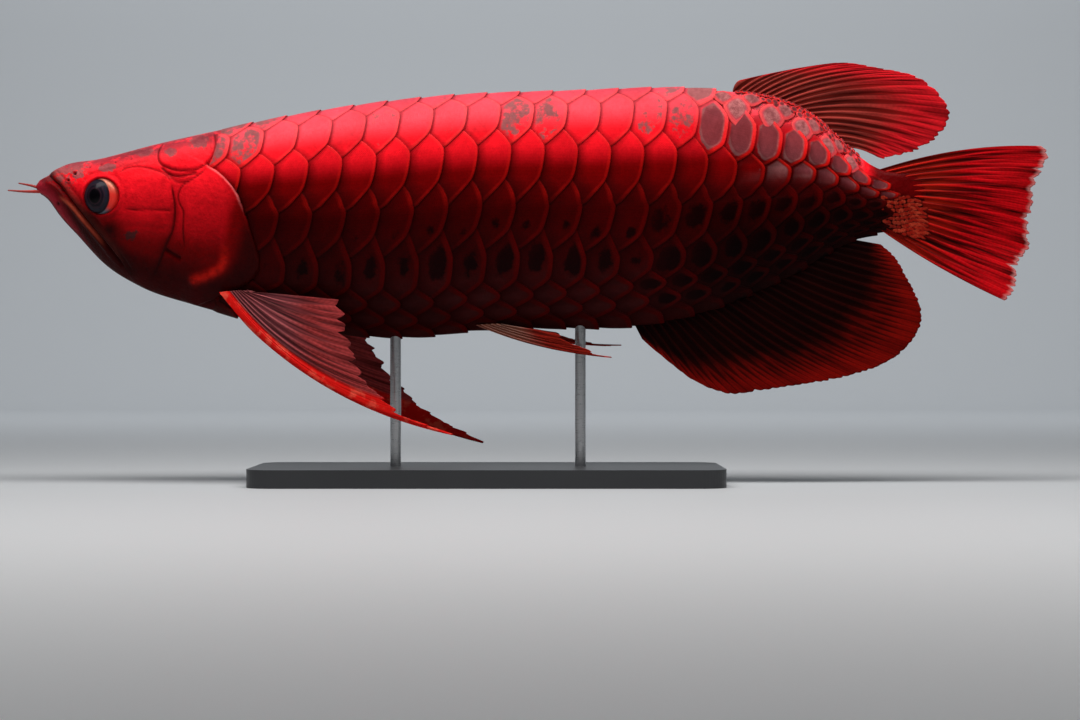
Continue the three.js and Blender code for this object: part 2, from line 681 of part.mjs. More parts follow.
const bodies = {};
let head = headTube.intersect(headWall).add(lip(lipRadius, lipRadius)).subtract(jawWall(mouthGap));
head = head.add(both(nostrilRim(nostrilFront)));
[nostrilFront, nostrilRear].forEach((place) => {
  head = head.subtract(both(nostrilHole(place)));
});
head = head.add(both(ring)).subtract(both(gillBed)).subtract(both(socket));
bodies.head = head;
let jaw = headTube.add(lip(-lipRadius, lipRadius)).add(chinTip()).intersect(jawWall(-mouthGap))
  .intersect(headWall);
Object.keys(barbelPaths).forEach((name) => {
  jaw = jaw.subtract(barbel(name, gap));
  bodies[name] = barbel(name, 0);
});
bodies.lower_jaw = jaw;
bodies.gill_cover_left = gillPlate;
bodies.gill_cover_right = mirrored(gillPlate);
bodies.eye_left = eyeLeft;
bodies.eye_right = mirrored(eyeLeft);

// Trunk and tail stalk: the scaled body, parted at the root of the anal fin.
const trunkWall = wall([...shifted(headSeam, clear), [81, -95], [tailCutX - clear, -95],
  [tailCutX - clear, 95], [95.5, 95]]);
const tailWall = wall([[tailCutX + clear, 95], [tailCutX + clear, -95], [467.5, -95],
  ...shifted(stalkEnd, -clear).reverse(), [468.5, 95]]);
let torso = trunkTube.intersect(trunkWall);
let tail = trunkTube.intersect(tailWall);

function rod(x, grow) {
  const top = fishHeight + bellyZ(x) + rodSink + grow;
  const bottom = baseThick - rodSink - grow;
  const shaft = new THREE.CylinderGeometry(rodRadius + grow, rodRadius + grow, top - bottom, 20);
  shaft.rotateX(Math.PI / 2);
  shaft.translate(x, 0, (top + bottom) / 2 - fishHeight);
  return solid(shaft);
}

function baseSolid() {
  const x = baseLength / 2 - baseRound;
  const y = baseWidth / 2 - baseRound;
  const shape = new THREE.Shape();
  shape.absarc(x, y, baseRound, 0, Math.PI / 2);
  shape.absarc(-x, y, baseRound, Math.PI / 2, Math.PI);
  shape.absarc(-x, -y, baseRound, Math.PI, 1.5 * Math.PI);
  shape.absarc(x, -y, baseRound, 1.5 * Math.PI, 2 * Math.PI);
  const slab = new THREE.ExtrudeGeometry(shape, { depth: baseThick, bevelEnabled: false, curveSegments: 6 });
  slab.translate((rodFrontX + rodRearX) / 2, 0, -fishHeight);
  return solid(slab);
}

const rodSockets = rod(rodFrontX, gap).add(rod(rodRearX, gap));
torso = torso.subtract(rodSockets);
bodies.stand_base = baseSolid().subtract(rodSockets);
bodies.stand_rod_front = rod(rodFrontX, 0);
bodies.stand_rod_rear = rod(rodRearX, 0);

// Fins: each one's root is sunk in a slot of the trunk or the tail.
Object.entries(fins).forEach(([name, fin]) => {
  const sheet = finSheet(fin);
  const slot = name.includes('left') || name.includes('right') ? sheetSlot(sheet) : edgeSlot(sheet, fin.rootThick);
  torso = torso.subtract(slot);
  tail = tail.subtract(slot);
  bodies[name] = solid(thicken(sheet));
});
bodies.torso = torso;
bodies.tail = tail;

const skinRed = { color: 0xb8161c, roughness: 0.35, metalness: 0 };
const finRed = { color: 0xa01a18, roughness: 0.45, metalness: 0 };
const looks = {
  eye_left: { color: 0x2a2030, roughness: 0.08, metalness: 0 },
  eye_right: { color: 0x2a2030, roughness: 0.08, metalness: 0 },
  stand_base: { color: 0x202124, roughness: 0.5, metalness: 0 },
  stand_rod_front: { color: 0xb0b2b4, roughness: 0.3, metalness: 1 },
  stand_rod_rear: { color: 0xb0b2b4, roughness: 0.3, metalness: 1 },
};

const arowana = new THREE.Group();
arowana.position.set(-fishMiddle, 0, fishHeight);
Object.entries(bodies).forEach(([name, body]) => {
  const look = looks[name] ?? (name.includes('_fin') || name.includes('barbel') ? finRed : skinRed);
  const mesh = new THREE.Mesh(geometryOf(body), new THREE.MeshStandardMaterial(look));
  mesh.name = name;
  arowana.add(mesh);
});

const model = new THREE.Group();
model.add(arowana);
export default model;
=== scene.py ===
import math

import bpy
import numpy as np
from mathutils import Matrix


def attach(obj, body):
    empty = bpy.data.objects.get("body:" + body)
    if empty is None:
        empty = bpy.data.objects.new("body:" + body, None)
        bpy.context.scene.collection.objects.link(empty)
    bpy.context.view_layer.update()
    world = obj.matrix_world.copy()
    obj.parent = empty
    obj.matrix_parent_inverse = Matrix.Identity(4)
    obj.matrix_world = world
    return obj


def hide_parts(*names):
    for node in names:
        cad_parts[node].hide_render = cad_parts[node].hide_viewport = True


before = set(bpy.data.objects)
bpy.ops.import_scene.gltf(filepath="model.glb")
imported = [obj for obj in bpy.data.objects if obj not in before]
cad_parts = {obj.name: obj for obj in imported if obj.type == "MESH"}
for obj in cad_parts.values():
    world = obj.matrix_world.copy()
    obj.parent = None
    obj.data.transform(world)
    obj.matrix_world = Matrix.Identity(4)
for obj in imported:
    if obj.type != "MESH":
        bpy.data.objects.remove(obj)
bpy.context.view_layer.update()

# The fish's own millimetres: x from the snout to the tail, z up from the lip's corner, left side at -y.
# The shared frame is metres, with the fish's middle over the stand.
fishPlace = {"middle": 275.0, "height": 150.0, "metre": 0.001}
rng = np.random.default_rng(7)


def toFrame(points):
    # (x - middle, y, z + height), in metres
    shift = np.array([-fishPlace["middle"], 0.0, fishPlace["height"]])
    return (np.asarray(points, float) + shift) * fishPlace["metre"]


# ---- lines of the body


def smoothLine(points):
    # cubic through (along, value) points, each slope the mean of its neighbours' weighted by length
    a, v = np.array(points, float).T
    h = np.diff(a)
    r = np.diff(v) / h
    slope = np.concatenate([[r[0]], (h[1:] * r[:-1] + h[:-1] * r[1:]) / (h[:-1] + h[1:]), [r[-1]]])

    def line(at):
        x = np.clip(np.asarray(at, float), a[0], a[-1])
        i = np.clip(np.searchsorted(a, x, side="right") - 1, 0, len(h) - 1)
        t = (x - a[i]) / h[i]
        return ((2 * t**3 - 3 * t**2 + 1) * v[i] + (t**3 - 2 * t**2 + t) * h[i] * slope[i]
                + (3 * t**2 - 2 * t**3) * v[i + 1] + (t**3 - t**2) * h[i] * slope[i + 1])
    return line


backZ = smoothLine([(0, 20), (4, 24), (10, 27.2), (30, 31), (62, 39.2), (94, 46.4), (150, 57.2), (222, 66),
                    (290, 68.8), (372, 69.8), (405, 66), (428, 56), (446, 40), (460, 28.5), (490, 23)])
bellyZ = smoothLine([(0, 11), (7.3, 0.2), (18, -11.7), (32, -26.7), (52, -39.6), (82, -50), (120, -59.5),
                     (165, -66.3), (206, -67.8), (243, -63.8), (285, -62.8), (325, -62), (365, -54.5),
                     (415, -34), (452, -13.5), (490, -8)])
halfWidth = smoothLine([(0, 4), (3, 7), (10, 10.5), (20, 14), (34, 17.6), (60, 21.5), (95, 24.2), (130, 25.6),
                        (180, 26), (240, 25), (300, 22), (350, 18), (400, 13), (440, 8.5), (460, 6.2),
                        (478, 3.2), (490, 2.4)])
waistZ = smoothLine([(0, 16.5), (34, 8), (100, 4), (200, 4), (300, 6), (400, 10), (460, 9), (490, 8)])
section = {"back": 2.5, "belly": 1.9, "bellyNarrow": 1.45}


def skinAt(x, turn):
    # point of the skin: turn 0 at the back's middle, pi at the belly, left side first;
    # height and width are powers of the turn's cosine and sine
    x, turn = np.broadcast_arrays(np.asarray(x, float), np.mod(np.asarray(turn, float), 2 * np.pi))
    side = np.where(turn <= np.pi, -1.0, 1.0)
    angle = np.where(turn <= np.pi, turn, 2 * np.pi - turn)
    waist = waistZ(x)
    up = np.cos(angle) >= 0
    reach = np.where(up, backZ(x), bellyZ(x)) - waist
    z = waist + reach * np.abs(np.cos(angle)) ** (2 / np.where(up, section["back"], section["belly"]))
    power = 2 / np.where(up, section["back"], section["bellyNarrow"])
    y = side * halfWidth(x) * np.abs(np.sin(angle)) ** power
    return np.stack([x, y, z], -1)


def skinOut(x, turn):
    # outward direction, from the slopes along the body and around it
    x, turn = np.broadcast_arrays(np.asarray(x, float), np.asarray(turn, float))
    alongBody = skinAt(x + 0.8, turn) - skinAt(x - 0.8, turn)
    around = skinAt(x, turn + 0.03) - skinAt(x, turn - 0.03)
    out = np.cross(around, alongBody)
    return out / np.maximum(np.linalg.norm(out, axis=-1, keepdims=True), 1e-9)


def turnAt(x, z):
    # turn on the left flank at which the skin has that height
    waist = waistZ(x)
    up = z >= waist
    reach = np.where(up, backZ(x) - waist, waist - bellyZ(x))
    share = np.clip(np.abs(z - waist) / reach, 0, 1)
    c = share ** (np.where(up, section["back"], section["belly"]) / 2)
    return np.arccos(np.where(up, c, -c))


def flankY(x, z):
    # half width of the body at a station and height
    return -skinAt(x, turnAt(x, z))[..., 1]


def ease(value, low, high):
    # 0 below low, 1 above high, smooth between
    t = np.clip((value - low) / (high - low), 0, 1)
    return t * t * (3 - 2 * t)


def bump(distance, width):
    # bell curve, 1 at no distance
    return np.exp(-(distance / width) ** 2)


def lineDistance(x, z, points):
    # distance in the side view to a line of points, the side it lies on (+1 to the right of its run),
    # and how far along it the nearest place is
    p = np.asarray(points, float)
    best = np.full(np.shape(x), 1e9)
    side = np.ones(np.shape(x))
    walk = np.zeros(np.shape(x))
    length = np.concatenate([[0], np.cumsum(np.hypot(*np.diff(p, axis=0).T))])
    for i in range(len(p) - 1):
        dx, dz = p[i + 1] - p[i]
        long = math.hypot(dx, dz)
        t = np.clip(((x - p[i, 0]) * dx + (z - p[i, 1]) * dz) / long**2, 0, 1)
        d = np.hypot(x - p[i, 0] - t * dx, z - p[i, 1] - t * dz)
        near = d < best
        cross = dx * (z - p[i, 1]) - dz * (x - p[i, 0])
        side = np.where(near, np.where(cross > 0, -1.0, 1.0), side)
        walk = np.where(near, length[i] + t * long, walk)
        best = np.where(near, d, best)
    return best, side, walk / length[-1]


def rounded(points, count=40):
    # evenly walked points of a smooth curve through a few points
    p = np.asarray(points, float)
    s = np.concatenate([[0], np.cumsum(np.sqrt(np.linalg.norm(np.diff(p, axis=0), axis=1)))])
    at = np.linspace(0, s[-1], 6 * count)
    fine = np.stack([smoothLine(list(zip(s, p[:, k])))(at) for k in range(p.shape[1])], -1)
    walk = np.concatenate([[0], np.cumsum(np.linalg.norm(np.diff(fine, axis=0), axis=1))])
    even = np.linspace(0, walk[-1], count)
    return np.stack([np.interp(even, walk, fine[:, k]) for k in range(p.shape[1])], -1)


# ---- putting surfaces into meshes


def makePiece(name, points, faceSets, material, replaced=(), bakeUv=None, values=None):
    # one finished piece: points in the fish's millimetres, and arrays of faces with three or four corners
    mesh = bpy.data.meshes.new(name)
    corners = np.concatenate([np.asarray(part, np.int32).ravel() for part in faceSets])
    sizes = np.concatenate([np.full(len(part), part.shape[1]) for part in faceSets])
    mesh.vertices.add(len(points))
    mesh.vertices.foreach_set("co", toFrame(points).astype(np.float32).ravel())
    mesh.loops.add(len(corners))
    mesh.loops.foreach_set("vertex_index", corners)
    mesh.polygons.add(len(sizes))
    mesh.polygons.foreach_set("loop_start", np.concatenate([[0], np.cumsum(sizes)[:-1]]).astype(np.int32))
    mesh.update(calc_edges=True)
    if bakeUv is not None:
        layer = mesh.uv_layers.new(name="OFBake")
        layer.data.foreach_set("uv", np.asarray(bakeUv, np.float32)[corners].ravel())
    for valueName, numbers in (values or {}).items():
        attribute = mesh.attributes.new(valueName, "FLOAT", "POINT")
        attribute.data.foreach_set("value", np.asarray(numbers, np.float32).ravel())
    mesh.shade_smooth()
    mesh.materials.append(material)
    piece = bpy.data.objects.new(name, mesh)
    bpy.context.scene.collection.objects.link(piece)
    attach(piece, "root")
    if replaced:
        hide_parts(*replaced)


def gridFaces(rows, columns, closed=False, start=0):
    # quads of a rows x columns grid of points; a closed grid also joins the last column to the first
    i, j = np.meshgrid(np.arange(rows - 1), np.arange(columns if closed else columns - 1), indexing="ij")
    k = (j + 1) % columns
    return start + np.stack([i * columns + j, i * columns + k, (i + 1) * columns + k, (i + 1) * columns + j],
                            -1).reshape(-1, 4)


def outwardFaces(points, *faceSets):
    # the same faces, turned round if the closed shape they make has a negative volume
    volume = 0.0
    for faces in faceSets:
        p = np.asarray(points)[faces]
        for n in range(1, faces.shape[1] - 1):
            volume += np.einsum("ij,ij->i", p[:, 0], np.cross(p[:, n], p[:, n + 1])).sum()
    return [faces if volume > 0 else faces[:, ::-1] for faces in faceSets]


def tubeFaces(points, rows, columns):
    # quads of a closed tube of rings, and two fans to the last two points, which close its ends
    j = np.arange(columns)
    k = (j + 1) % columns
    last = (rows - 1) * columns
    fans = np.concatenate([np.stack([np.full(columns, rows * columns), k, j], -1),
                           np.stack([np.full(columns, rows * columns + 1), last + j, last + k], -1)])
    return outwardFaces(points, gridFaces(rows, columns, closed=True), fans)


# ---- material helpers: a wire is a socket on its way through a tree, and wires add and multiply


class Wire:
    def __init__(self, socket):
        self.socket = socket
        self.tree = socket.id_data

    def math(self, operation, a, b=0.0):
        return Wire(put(self.tree, "ShaderNodeMath", {"operation": operation}, {0: a, 1: b}).outputs[0])

    def sine(self):
        return self.math("SINE", self)

    def most(self, other):
        return self.math("MAXIMUM", self, other)

    def clamped(self):
        self.socket.node.use_clamp = True
        return self

    def ramp(self, low, high, start=0.0, end=1.0):
        # low to high made start to end, smooth
        ends = {"From Min": low, "From Max": high, "To Min": start, "To Max": end}
        return Wire(put(self.tree, "ShaderNodeMapRange", {"interpolation_type": "SMOOTHSTEP"},
                        {"Value": self, **ends}).outputs[0])

    def noise(self, scale, detail=3.0, rough=0.55):
        given = {"Vector": self, "Scale": scale, "Detail": detail, "Roughness": rough}
        return Wire(put(self.tree, "ShaderNodeTexNoise", {}, given).outputs["Fac"])

    def grey(self):
        return Wire(put(self.tree, "ShaderNodeCombineColor", {}, {0: self, 1: self, 2: self}).outputs[0])


for method, operation in (("add", "ADD"), ("sub", "SUBTRACT"), ("mul", "MULTIPLY"), ("truediv", "DIVIDE")):
    setattr(Wire, f"__{method}__", lambda a, b, way=operation: a.math(way, a, b))
    setattr(Wire, f"__r{method}__", lambda a, b, way=operation: a.math(way, b, a))


def put(tree, kind, settings=None, inputs=None):
    # one node, with its settings, and its inputs as numbers, colours or wires
    node = tree.nodes.new(kind)
    for key, setting in (settings or {}).items():
        setattr(node, key, setting)
    for key, given in (inputs or {}).items():
        socket = node.inputs[key]
        if isinstance(given, Wire):
            tree.links.new(given.socket, socket)
        else:
            socket.default_value = (*given, 1.0) if socket.type == "RGBA" else given
    return node


def mix(share, a, b, way="MIX"):
    # colour a, with this share of colour b
    tree = next(part.tree for part in (share, a, b) if isinstance(part, Wire))
    return Wire(put(tree, "ShaderNodeMix", {"data_type": "RGBA", "blend_type": way, "clamp_factor": True},
                    {0: share, 6: a, 7: b}).outputs[2])


class Look:
    # a material whose shader has these fixed numbers
    def __init__(self, name, **fixed):
        self.material = bpy.data.materials.new(name)
        self.material.use_nodes = True
        self.tree = self.material.node_tree
        self.shader = self.tree.nodes["Principled BSDF"]
        self.place = Wire(put(self.tree, "ShaderNodeTexCoord").outputs["Object"])
        for key, number in fixed.items():
            self.shader.inputs[key.replace("_", " ")].default_value = number

    def value(self, *names):
        # numbers that the piece carries on its points
        nodes = [put(self.tree, "ShaderNodeAttribute", {"attribute_name": name}) for name in names]
        wires = [Wire(node.outputs["Fac"]) for node in nodes]
        return wires if len(wires) > 1 else wires[0]

    def use(self, group, **inputs):
        node = put(self.tree, "ShaderNodeGroup", {"node_tree": group}, inputs)
        wires = [Wire(socket) for socket in node.outputs]
        return wires if len(wires) > 1 else wires[0]

    def feed(self, name, wire):
        self.tree.links.new(wire.socket, self.shader.inputs[name])

    def relief(self, height, strength, distance):
        given = {"Height": height, "Strength": strength, "Distance": distance}
        self.feed("Normal", Wire(put(self.tree, "ShaderNodeBump", {}, given).outputs[0]))


def newGroup(name, inputs, outputs):
    # an effect with named inputs, by their kind and start, and the wires of its inputs
    group = bpy.data.node_groups.new(name, "ShaderNodeTree")
    kinds = {"value": "NodeSocketFloat", "colour": "NodeSocketColor", "vector": "NodeSocketVector"}
    for label, start in inputs.items():
        kind = start if isinstance(start, str) else "value"
        socket = group.interface.new_socket(name=label, in_out="INPUT", socket_type=kinds[kind])
        if kind == "value":
            socket.default_value = start
    for label, kind in outputs.items():
        group.interface.new_socket(name=label, in_out="OUTPUT", socket_type=kinds[kind])
    inlet = group.nodes.new("NodeGroupInput")
    return group, [Wire(inlet.outputs[label]) for label in inputs]


def endGroup(group, **results):
    outlet = group.nodes.new("NodeGroupOutput")
    for name, wire in results.items():
        group.links.new(wire.socket, outlet.inputs[name])


# ---- shared effects

# uneven tone of living skin: a broad and a fine noise about 1
softMottle, (place, patchSize, amount) = newGroup(
    "softMottle", {"place": "vector", "patchSize": 30.0, "amount": 0.2}, {"shade": "value"})
broad = place.noise(patchSize, 4.0, 0.6)
fine = place.noise(patchSize * 9.0)
endGroup(softMottle, shade=(broad * 1.3 + fine * 0.7 - 1.0) * amount + 1.0)

# red of the fish by its depth from the back: ridge, crest, back, flank, low, belly; the crest's pink is a
# painted sheen, and the fall to the flank, low flank and belly is partly the fish's own colour and partly
# painted shade
zones = ("ridge", "crestSheen", "back", "flank", "low", "belly")
zoneStarts = ((0.0, 0.045), (0.08, 0.19), (0.20, 0.35), (0.34, 0.52), (0.80, 0.93))
flankTone, (depth, tone, *reds) = newGroup(
    "flankTone", {"depth": 0.0, **dict.fromkeys(zones, "colour")}, {"tone": "colour"})
for (start, full), red in zip(zoneStarts, reds):
    tone = mix(depth.ramp(start, full), tone, red)
endGroup(flankTone, tone=tone)

# mask with a torn edge: a soft reach added to a broad and a fine noise, cut at a level
raggedPatch, (place, reach, size, edge) = newGroup(
    "raggedPatch", {"place": "vector", "reach": 0.0, "size": 120.0, "edge": 0.06}, {"mask": "value"})
torn = place.noise(size, 5.0, 0.7) * 0.6 + place.noise(size * 4.5, 5.0, 0.7) * 0.5
endGroup(raggedPatch, mask=((torn + reach - 1.0) / edge + 0.5).clamped())

# the crest's pink is a painted sheen; flank, low and belly are darker partly by their own colour and partly by
# painted shade
redTones = {"ridge": (0.62, 0.060, 0.088), "crestSheen": (0.93, 0.066, 0.092), "back": (0.97, 0.008, 0.017),
            "flank": (0.15, 0.0004, 0.0008), "low": (0.040, 0.0003, 0.0004), "belly": (0.040, 0.004, 0.0035)}
# seam is painted shade in grooves and at the plates' edges
darkTones = {"seam": (0.018, 0.0006, 0.0008), "blotchAndHighlight": (0.006, 0.0004, 0.0006)}


# ---- skin: one surface from the snout to the end of the tail stalk

headLines = {  # side-view lines of the head, fish millimetres
    "mouth": [(-1, 22), (3.0, 21.6), (6.2, 18.6), (9.9, 15.0), (14.2, 9.6), (19.7, 2.6), (26.8, -6.2),
              (33.1, -13.8), (38.2, -20.3), (42.6, -26.6), (45.4, -30.5)],
    "gillEdge": [(93.5, 25.6), (96.5, 24.0), (101.2, 20.6), (108.2, 12.8), (112.2, 3.9), (116, -7.5),
                 (119.9, -19.6), (121.4, -26.5), (119.6, -33.0), (114.9, -38.3), (106.1, -42.5),
                 (96.2, -46.5), (86, -50)],
    "gillFront": [(93.5, 24.6), (86.5, 19.1), (79.6, 14.8), (77.0, 8.9), (78.2, 4.2), (80.0, 1.1),
                  (79.8, -8.3), (80.2, -20.1)],
    "preSeam": [(72.8, 16.9), (74.4, 9.0), (75.2, 1.2), (73.6, -9.8), (69.7, -17.7), (66.6, -24.7),
                (62.6, -32.6), (59.5, -37.3)],
    "cheekUpper": [(45.0, 2.0), (54.8, 1.8), (74.6, 1.3)],
    "cheekLower": [(45.3, -6.7), (58.7, -7.1), (73.6, -8.4)],
    "plateTop": [(43.8, 22.1), (46.8, 24.6), (52.9, 25.7), (59.2, 24.9), (67.0, 22.5), (71.3, 19.6),
                 (72.8, 16.9)],
    "nape": [(70.5, 41.6), (66.6, 38.6), (64.9, 33.1), (66.4, 27.6), (72.0, 24.4), (81.4, 22.7), (88.5, 24.0),
             (94.8, 29.9), (96.8, 37.0), (95.8, 43.3)],
    "slot": [(68.9, -19.6), (72.8, -22.4), (78.3, -25.1)],
    "foldA": [(66.6, 25.9), (71.3, 21.6), (78.3, 19.9), (88.5, 22.0)],
    "foldB": [(70.4, 22.4), (76.0, 17.2), (84.0, 16.4)],
    "gillRidge": [(96.9, 19.0), (100.0, 8.8), (101.6, -6.9), (102.4, -19.4), (101.5, -27.7), (94.0, -33.0),
                  (85.1, -35.6)],
    "lipHighlightLine": [(8.2, 10.6), (16.8, 3.9), (23.4, -3.9), (30.9, -12.2), (36.4, -19.0)],
    "jawCrease": [(41.6, -19.5), (45.2, -25.0), (49.5, -31.5)],
    "brow": [(23.9, 21.3), (30.2, 22.8), (41.2, 25.2), (61.7, 29.1)],
}
headRelief = {"mouthDeep": 1.5, "mouthWide": 0.75, "lipHigh": 0.9, "gillHigh": 1.7, "seamDeep": 0.75,
              "napeHigh": 0.7, "orbitDeep": 2.4, "ridgeHigh": 0.85, "cheekHigh": 0.55}
orbit = {"x": 33.8, "z": 9.4, "radius": 10.7}
nostrils = [(18.2, 22.2, 1.25), (14.6, 18.6, 1.0)]
skinPlan = {"noseRings": 12, "headRings": 262, "headEnd": 128.0, "trunkRings": 92, "tailEnd": 491.0,
            "around": 264, "noseReach": 1.6}
smudges = [(36.5, 25.0, 7.0, 3.6), (19.8, 21.0, 6.0, 2.6), (50.1, -12.6, 7.5, 5.0), (72.0, 33.5, 5.0, 4.0),
           (88.0, 40.0, 9.0, 6.0), (55.0, 34.0, 12.0, 4.0), (47.0, 38.0, 7.0, 4.0)]  # middle and half sizes
pores = [(26.5, 25.6), (33.0, 27.2), (41.0, 28.4), (50.0, 30.2), (52.0, -24.5), (58.0, -30.5), (40.5, -12.8),
         (60.5, -16.0)]  # along the brow and the lower cheek
grooves = {  # how deep and wide the head's lines are cut
    "gillFront": (0.8, 0.55), "preSeam": (1.0, 0.6), "cheekUpper": (0.7, 0.5), "cheekLower": (0.25, 0.6),
    "plateTop": (0.6, 0.6), "slot": (2.2, 1.1), "foldA": (0.9, 0.8), "foldB": (0.6, 0.8),
    "jawCrease": (0.5, 0.6), "brow": (0.25, 0.9)}
# the head's tones change less from top to bottom than the flank's: depth, and the depth whose tone it takes
headFade = {"at": [0, 0.1, 0.2, 0.3, 0.36, 0.42, 0.5, 0.6, 0.7, 0.8, 0.9, 1],
            "as": [0.13, 0.155, 0.195, 0.232, 0.258, 0.273, 0.284, 0.303, 0.345, 0.46, 0.54, 0.6]}


def headShape(x, z):
    # how far the skin stands out from the plain body at side-view places, and the masks of its markings
    lines = {name: rounded(points, 60) for name, points in headLines.items()}
    far = {name: lineDistance(x, z, line) for name, line in lines.items()}
    lift = np.zeros_like(x)
    d, side, walk = far["mouth"]
    ends = ease(walk, 0.0, 0.02) * (1 - ease(walk, 0.93, 1.0))
    lift -= headRelief["mouthDeep"] * bump(d, headRelief["mouthWide"]) * ends
    lip = bump(d - 2.0, 1.25) * (1 - ease(walk, 0.80, 1.0))
    lift += headRelief["lipHigh"] * lip * np.where(side < 0, 0.75, 0.95)
    lift -= 0.45 * bump(d - 4.6, 0.8) * (side < 0) * (1 - ease(walk, 0.6, 0.9))
    # gill cover: a raised plate whose rear edge drops to the body
    dg, sideG, walkG = far["gillEdge"]
    signed = np.where(sideG > 0, dg, -dg)
    inside = ease(signed, -0.35, 1.0) * ease(x, 74, 84) * ease(52 - np.abs(z + 12), 0, 10)
    lift += headRelief["gillHigh"] * inside * (0.55 + 0.45 * ease(signed, 0.5, 14))
    lift += 0.2 * bump(signed - 1.2, 0.9) * ease(x, 84, 96)
    behind = np.where((signed < 0) & (x > 84), dg, 99)
    lift -= 0.9 * bump(behind - 0.9, 1.1) * ease(x, 84, 96)
    ridgeFar, _, ridgeWalk = far["gillRidge"]
    lift += headRelief["ridgeHigh"] * bump(ridgeFar, 3.2) * (0.5 + 0.5 * ease(ridgeWalk, 0.4, 0.8))
    seams = np.zeros_like(x)
    for name, (deep, wide) in grooves.items():
        dist, _, along = far[name]
        taper = ease(along, 0.0, 0.10) * (1 - ease(along, 0.90, 1.0))
        groove = bump(dist, wide) * taper
        lift -= headRelief["seamDeep"] * deep * groove
        seams = np.maximum(seams, groove * min(1, deep * 1.1))
    # plates swell a little between their seams
    cheek = ease(x, 46, 56) * (1 - ease(x, 68, 74)) * ease(z, -20, -8) * (1 - ease(z, 18, 24))
    lift += headRelief["cheekHigh"] * cheek * (1 - 0.5 * bump(z - 1.6, 3.0))
    dn, sideN, _ = far["nape"]
    signedN = np.where((sideN < 0) & (x < 97.5), dn, -dn)
    napeIn = ease(signedN, -0.3, 1.6) * ease(x, 63, 66)
    lift += headRelief["napeHigh"] * napeIn - 0.5 * bump(dn, 0.6)
    seams = np.maximum(seams, bump(dn, 0.55) * 0.9)
    # eye socket and its rim
    rad = np.hypot(x - orbit["x"], z - orbit["z"])
    past = rad - orbit["radius"]
    lift -= headRelief["orbitDeep"] * (1 - ease(past, -1.6, -0.2))
    lift += 0.5 * bump(past - 0.4, 0.8) - 0.2 * bump(past - 2.6, 1.0)
    seams = np.maximum(seams, bump(past + 0.7, 0.5) * 0.6)
    holes = np.zeros_like(x)
    for hx, hz, size in nostrils:
        r = np.hypot(x - hx, (z - hz) * 1.25)
        lift += 0.45 * bump(r - size - 0.45, 0.45) - 1.3 * bump(r, size * 0.75)
        holes = np.maximum(holes, bump(r, size * 0.85))
    lipPit = np.hypot(x - 8.3, z - 5.8)
    holes = np.maximum(holes, bump(lipPit, 1.0))
    lift -= 0.5 * bump(lipPit, 0.8)
    for px, pz in pores:
        pore = bump(np.hypot(x - px, z - pz), 0.55)
        lift -= 0.35 * pore
        holes = np.maximum(holes, 0.7 * pore)
    lipHighlightFar, _, lipHighlightWalk = far["lipHighlightLine"]
    seamFar, _, seamWalk = far["preSeam"]
    depth = (backZ(x) - z) / np.maximum(backZ(x) - bellyZ(x), 1)
    masks = {
        # seam: painted shade in the head's grooves, round the eye socket and the nape, and a painted shadow
        # behind the gill cover's edge
        "seam": np.maximum.reduce([seams, bump(d, 0.7) * ends, bump(behind - 1.0, 1.3) * ease(x, 84, 94)]),
        # painted shade in the nostrils, the lip's pit and the pores
        "pitShade": holes,
        # the lower jaw's orange upper rim: partly its own colour, partly a painted highlight
        "lipHighlight": bump(lipHighlightFar, 0.95) * ease(lipHighlightWalk, 0.0, 0.1) * (1 - ease(lipHighlightWalk, 0.75, 1)),
        "lip": bump(d - 1.9, 2.6) * (side < 0) * (1 - ease(walk, 0.86, 1.0)),
        "jawTip": (side > 0) * (1 - ease(x + 0.6 * z, 8, 17)),
        "jaw": (side > 0) * ease(d, 0.2, 1.0) * (1 - ease(x, 44, 50)),
        "gillLight": bump(signed - 0.5, 0.45) * ease(x, 90, 97) * (1 - ease(walkG, 0.14, 0.34)),
        # gloom: painted shade below and behind the eye, on the cheek above the mouth line, on the gill cover's
        # lower rear and along the preopercle's seam
        "paintedShade": np.maximum.reduce([
            bump(np.maximum(d - 2.0, 0), 5.5) * (side < 0) * ease(walk, 0.22, 0.5),
            bump(np.hypot((x - 38) / 8.5, (z + 9) / 8.0), 1.0) * (rad > orbit["radius"]),
            0.75 * bump(np.maximum(signed - 4.0, 0), 5.0) * (signed > 0) * ease(walkG, 0.30, 0.55)
            * ease(x, 84, 92),
            0.5 * bump(seamFar, 2.6) * ease(seamWalk, 0.0, 0.3)]),
        "crown": (1 - ease(depth, 0.03, 0.13)) * ease(x, 9, 14),
        # painted highlight on the gill cover's lower bulge
        "gillCrescentHighlight": bump(ridgeFar, 2.3) * ease(ridgeWalk, 0.50, 0.74),
    }
    return lift, masks


def depthAt(points):
    # share of the way from the back to the belly, held up on the tail stalk so that it stays red
    x, z = points[:, 0], points[:, 2]
    depth = (backZ(x) - z) / np.maximum(backZ(x) - bellyZ(x), 1)
    return np.maximum(depth, 0.33 * ease(x, 448, 464))


def lowRearShade(x, depth):
    # painted shade: the low rear of the body is darkened in its colour nearly to black; share of its light that
    # is left
    return 1 - 0.68 * ease(x, 330, 390) * ease(depth, 0.44, 0.72)


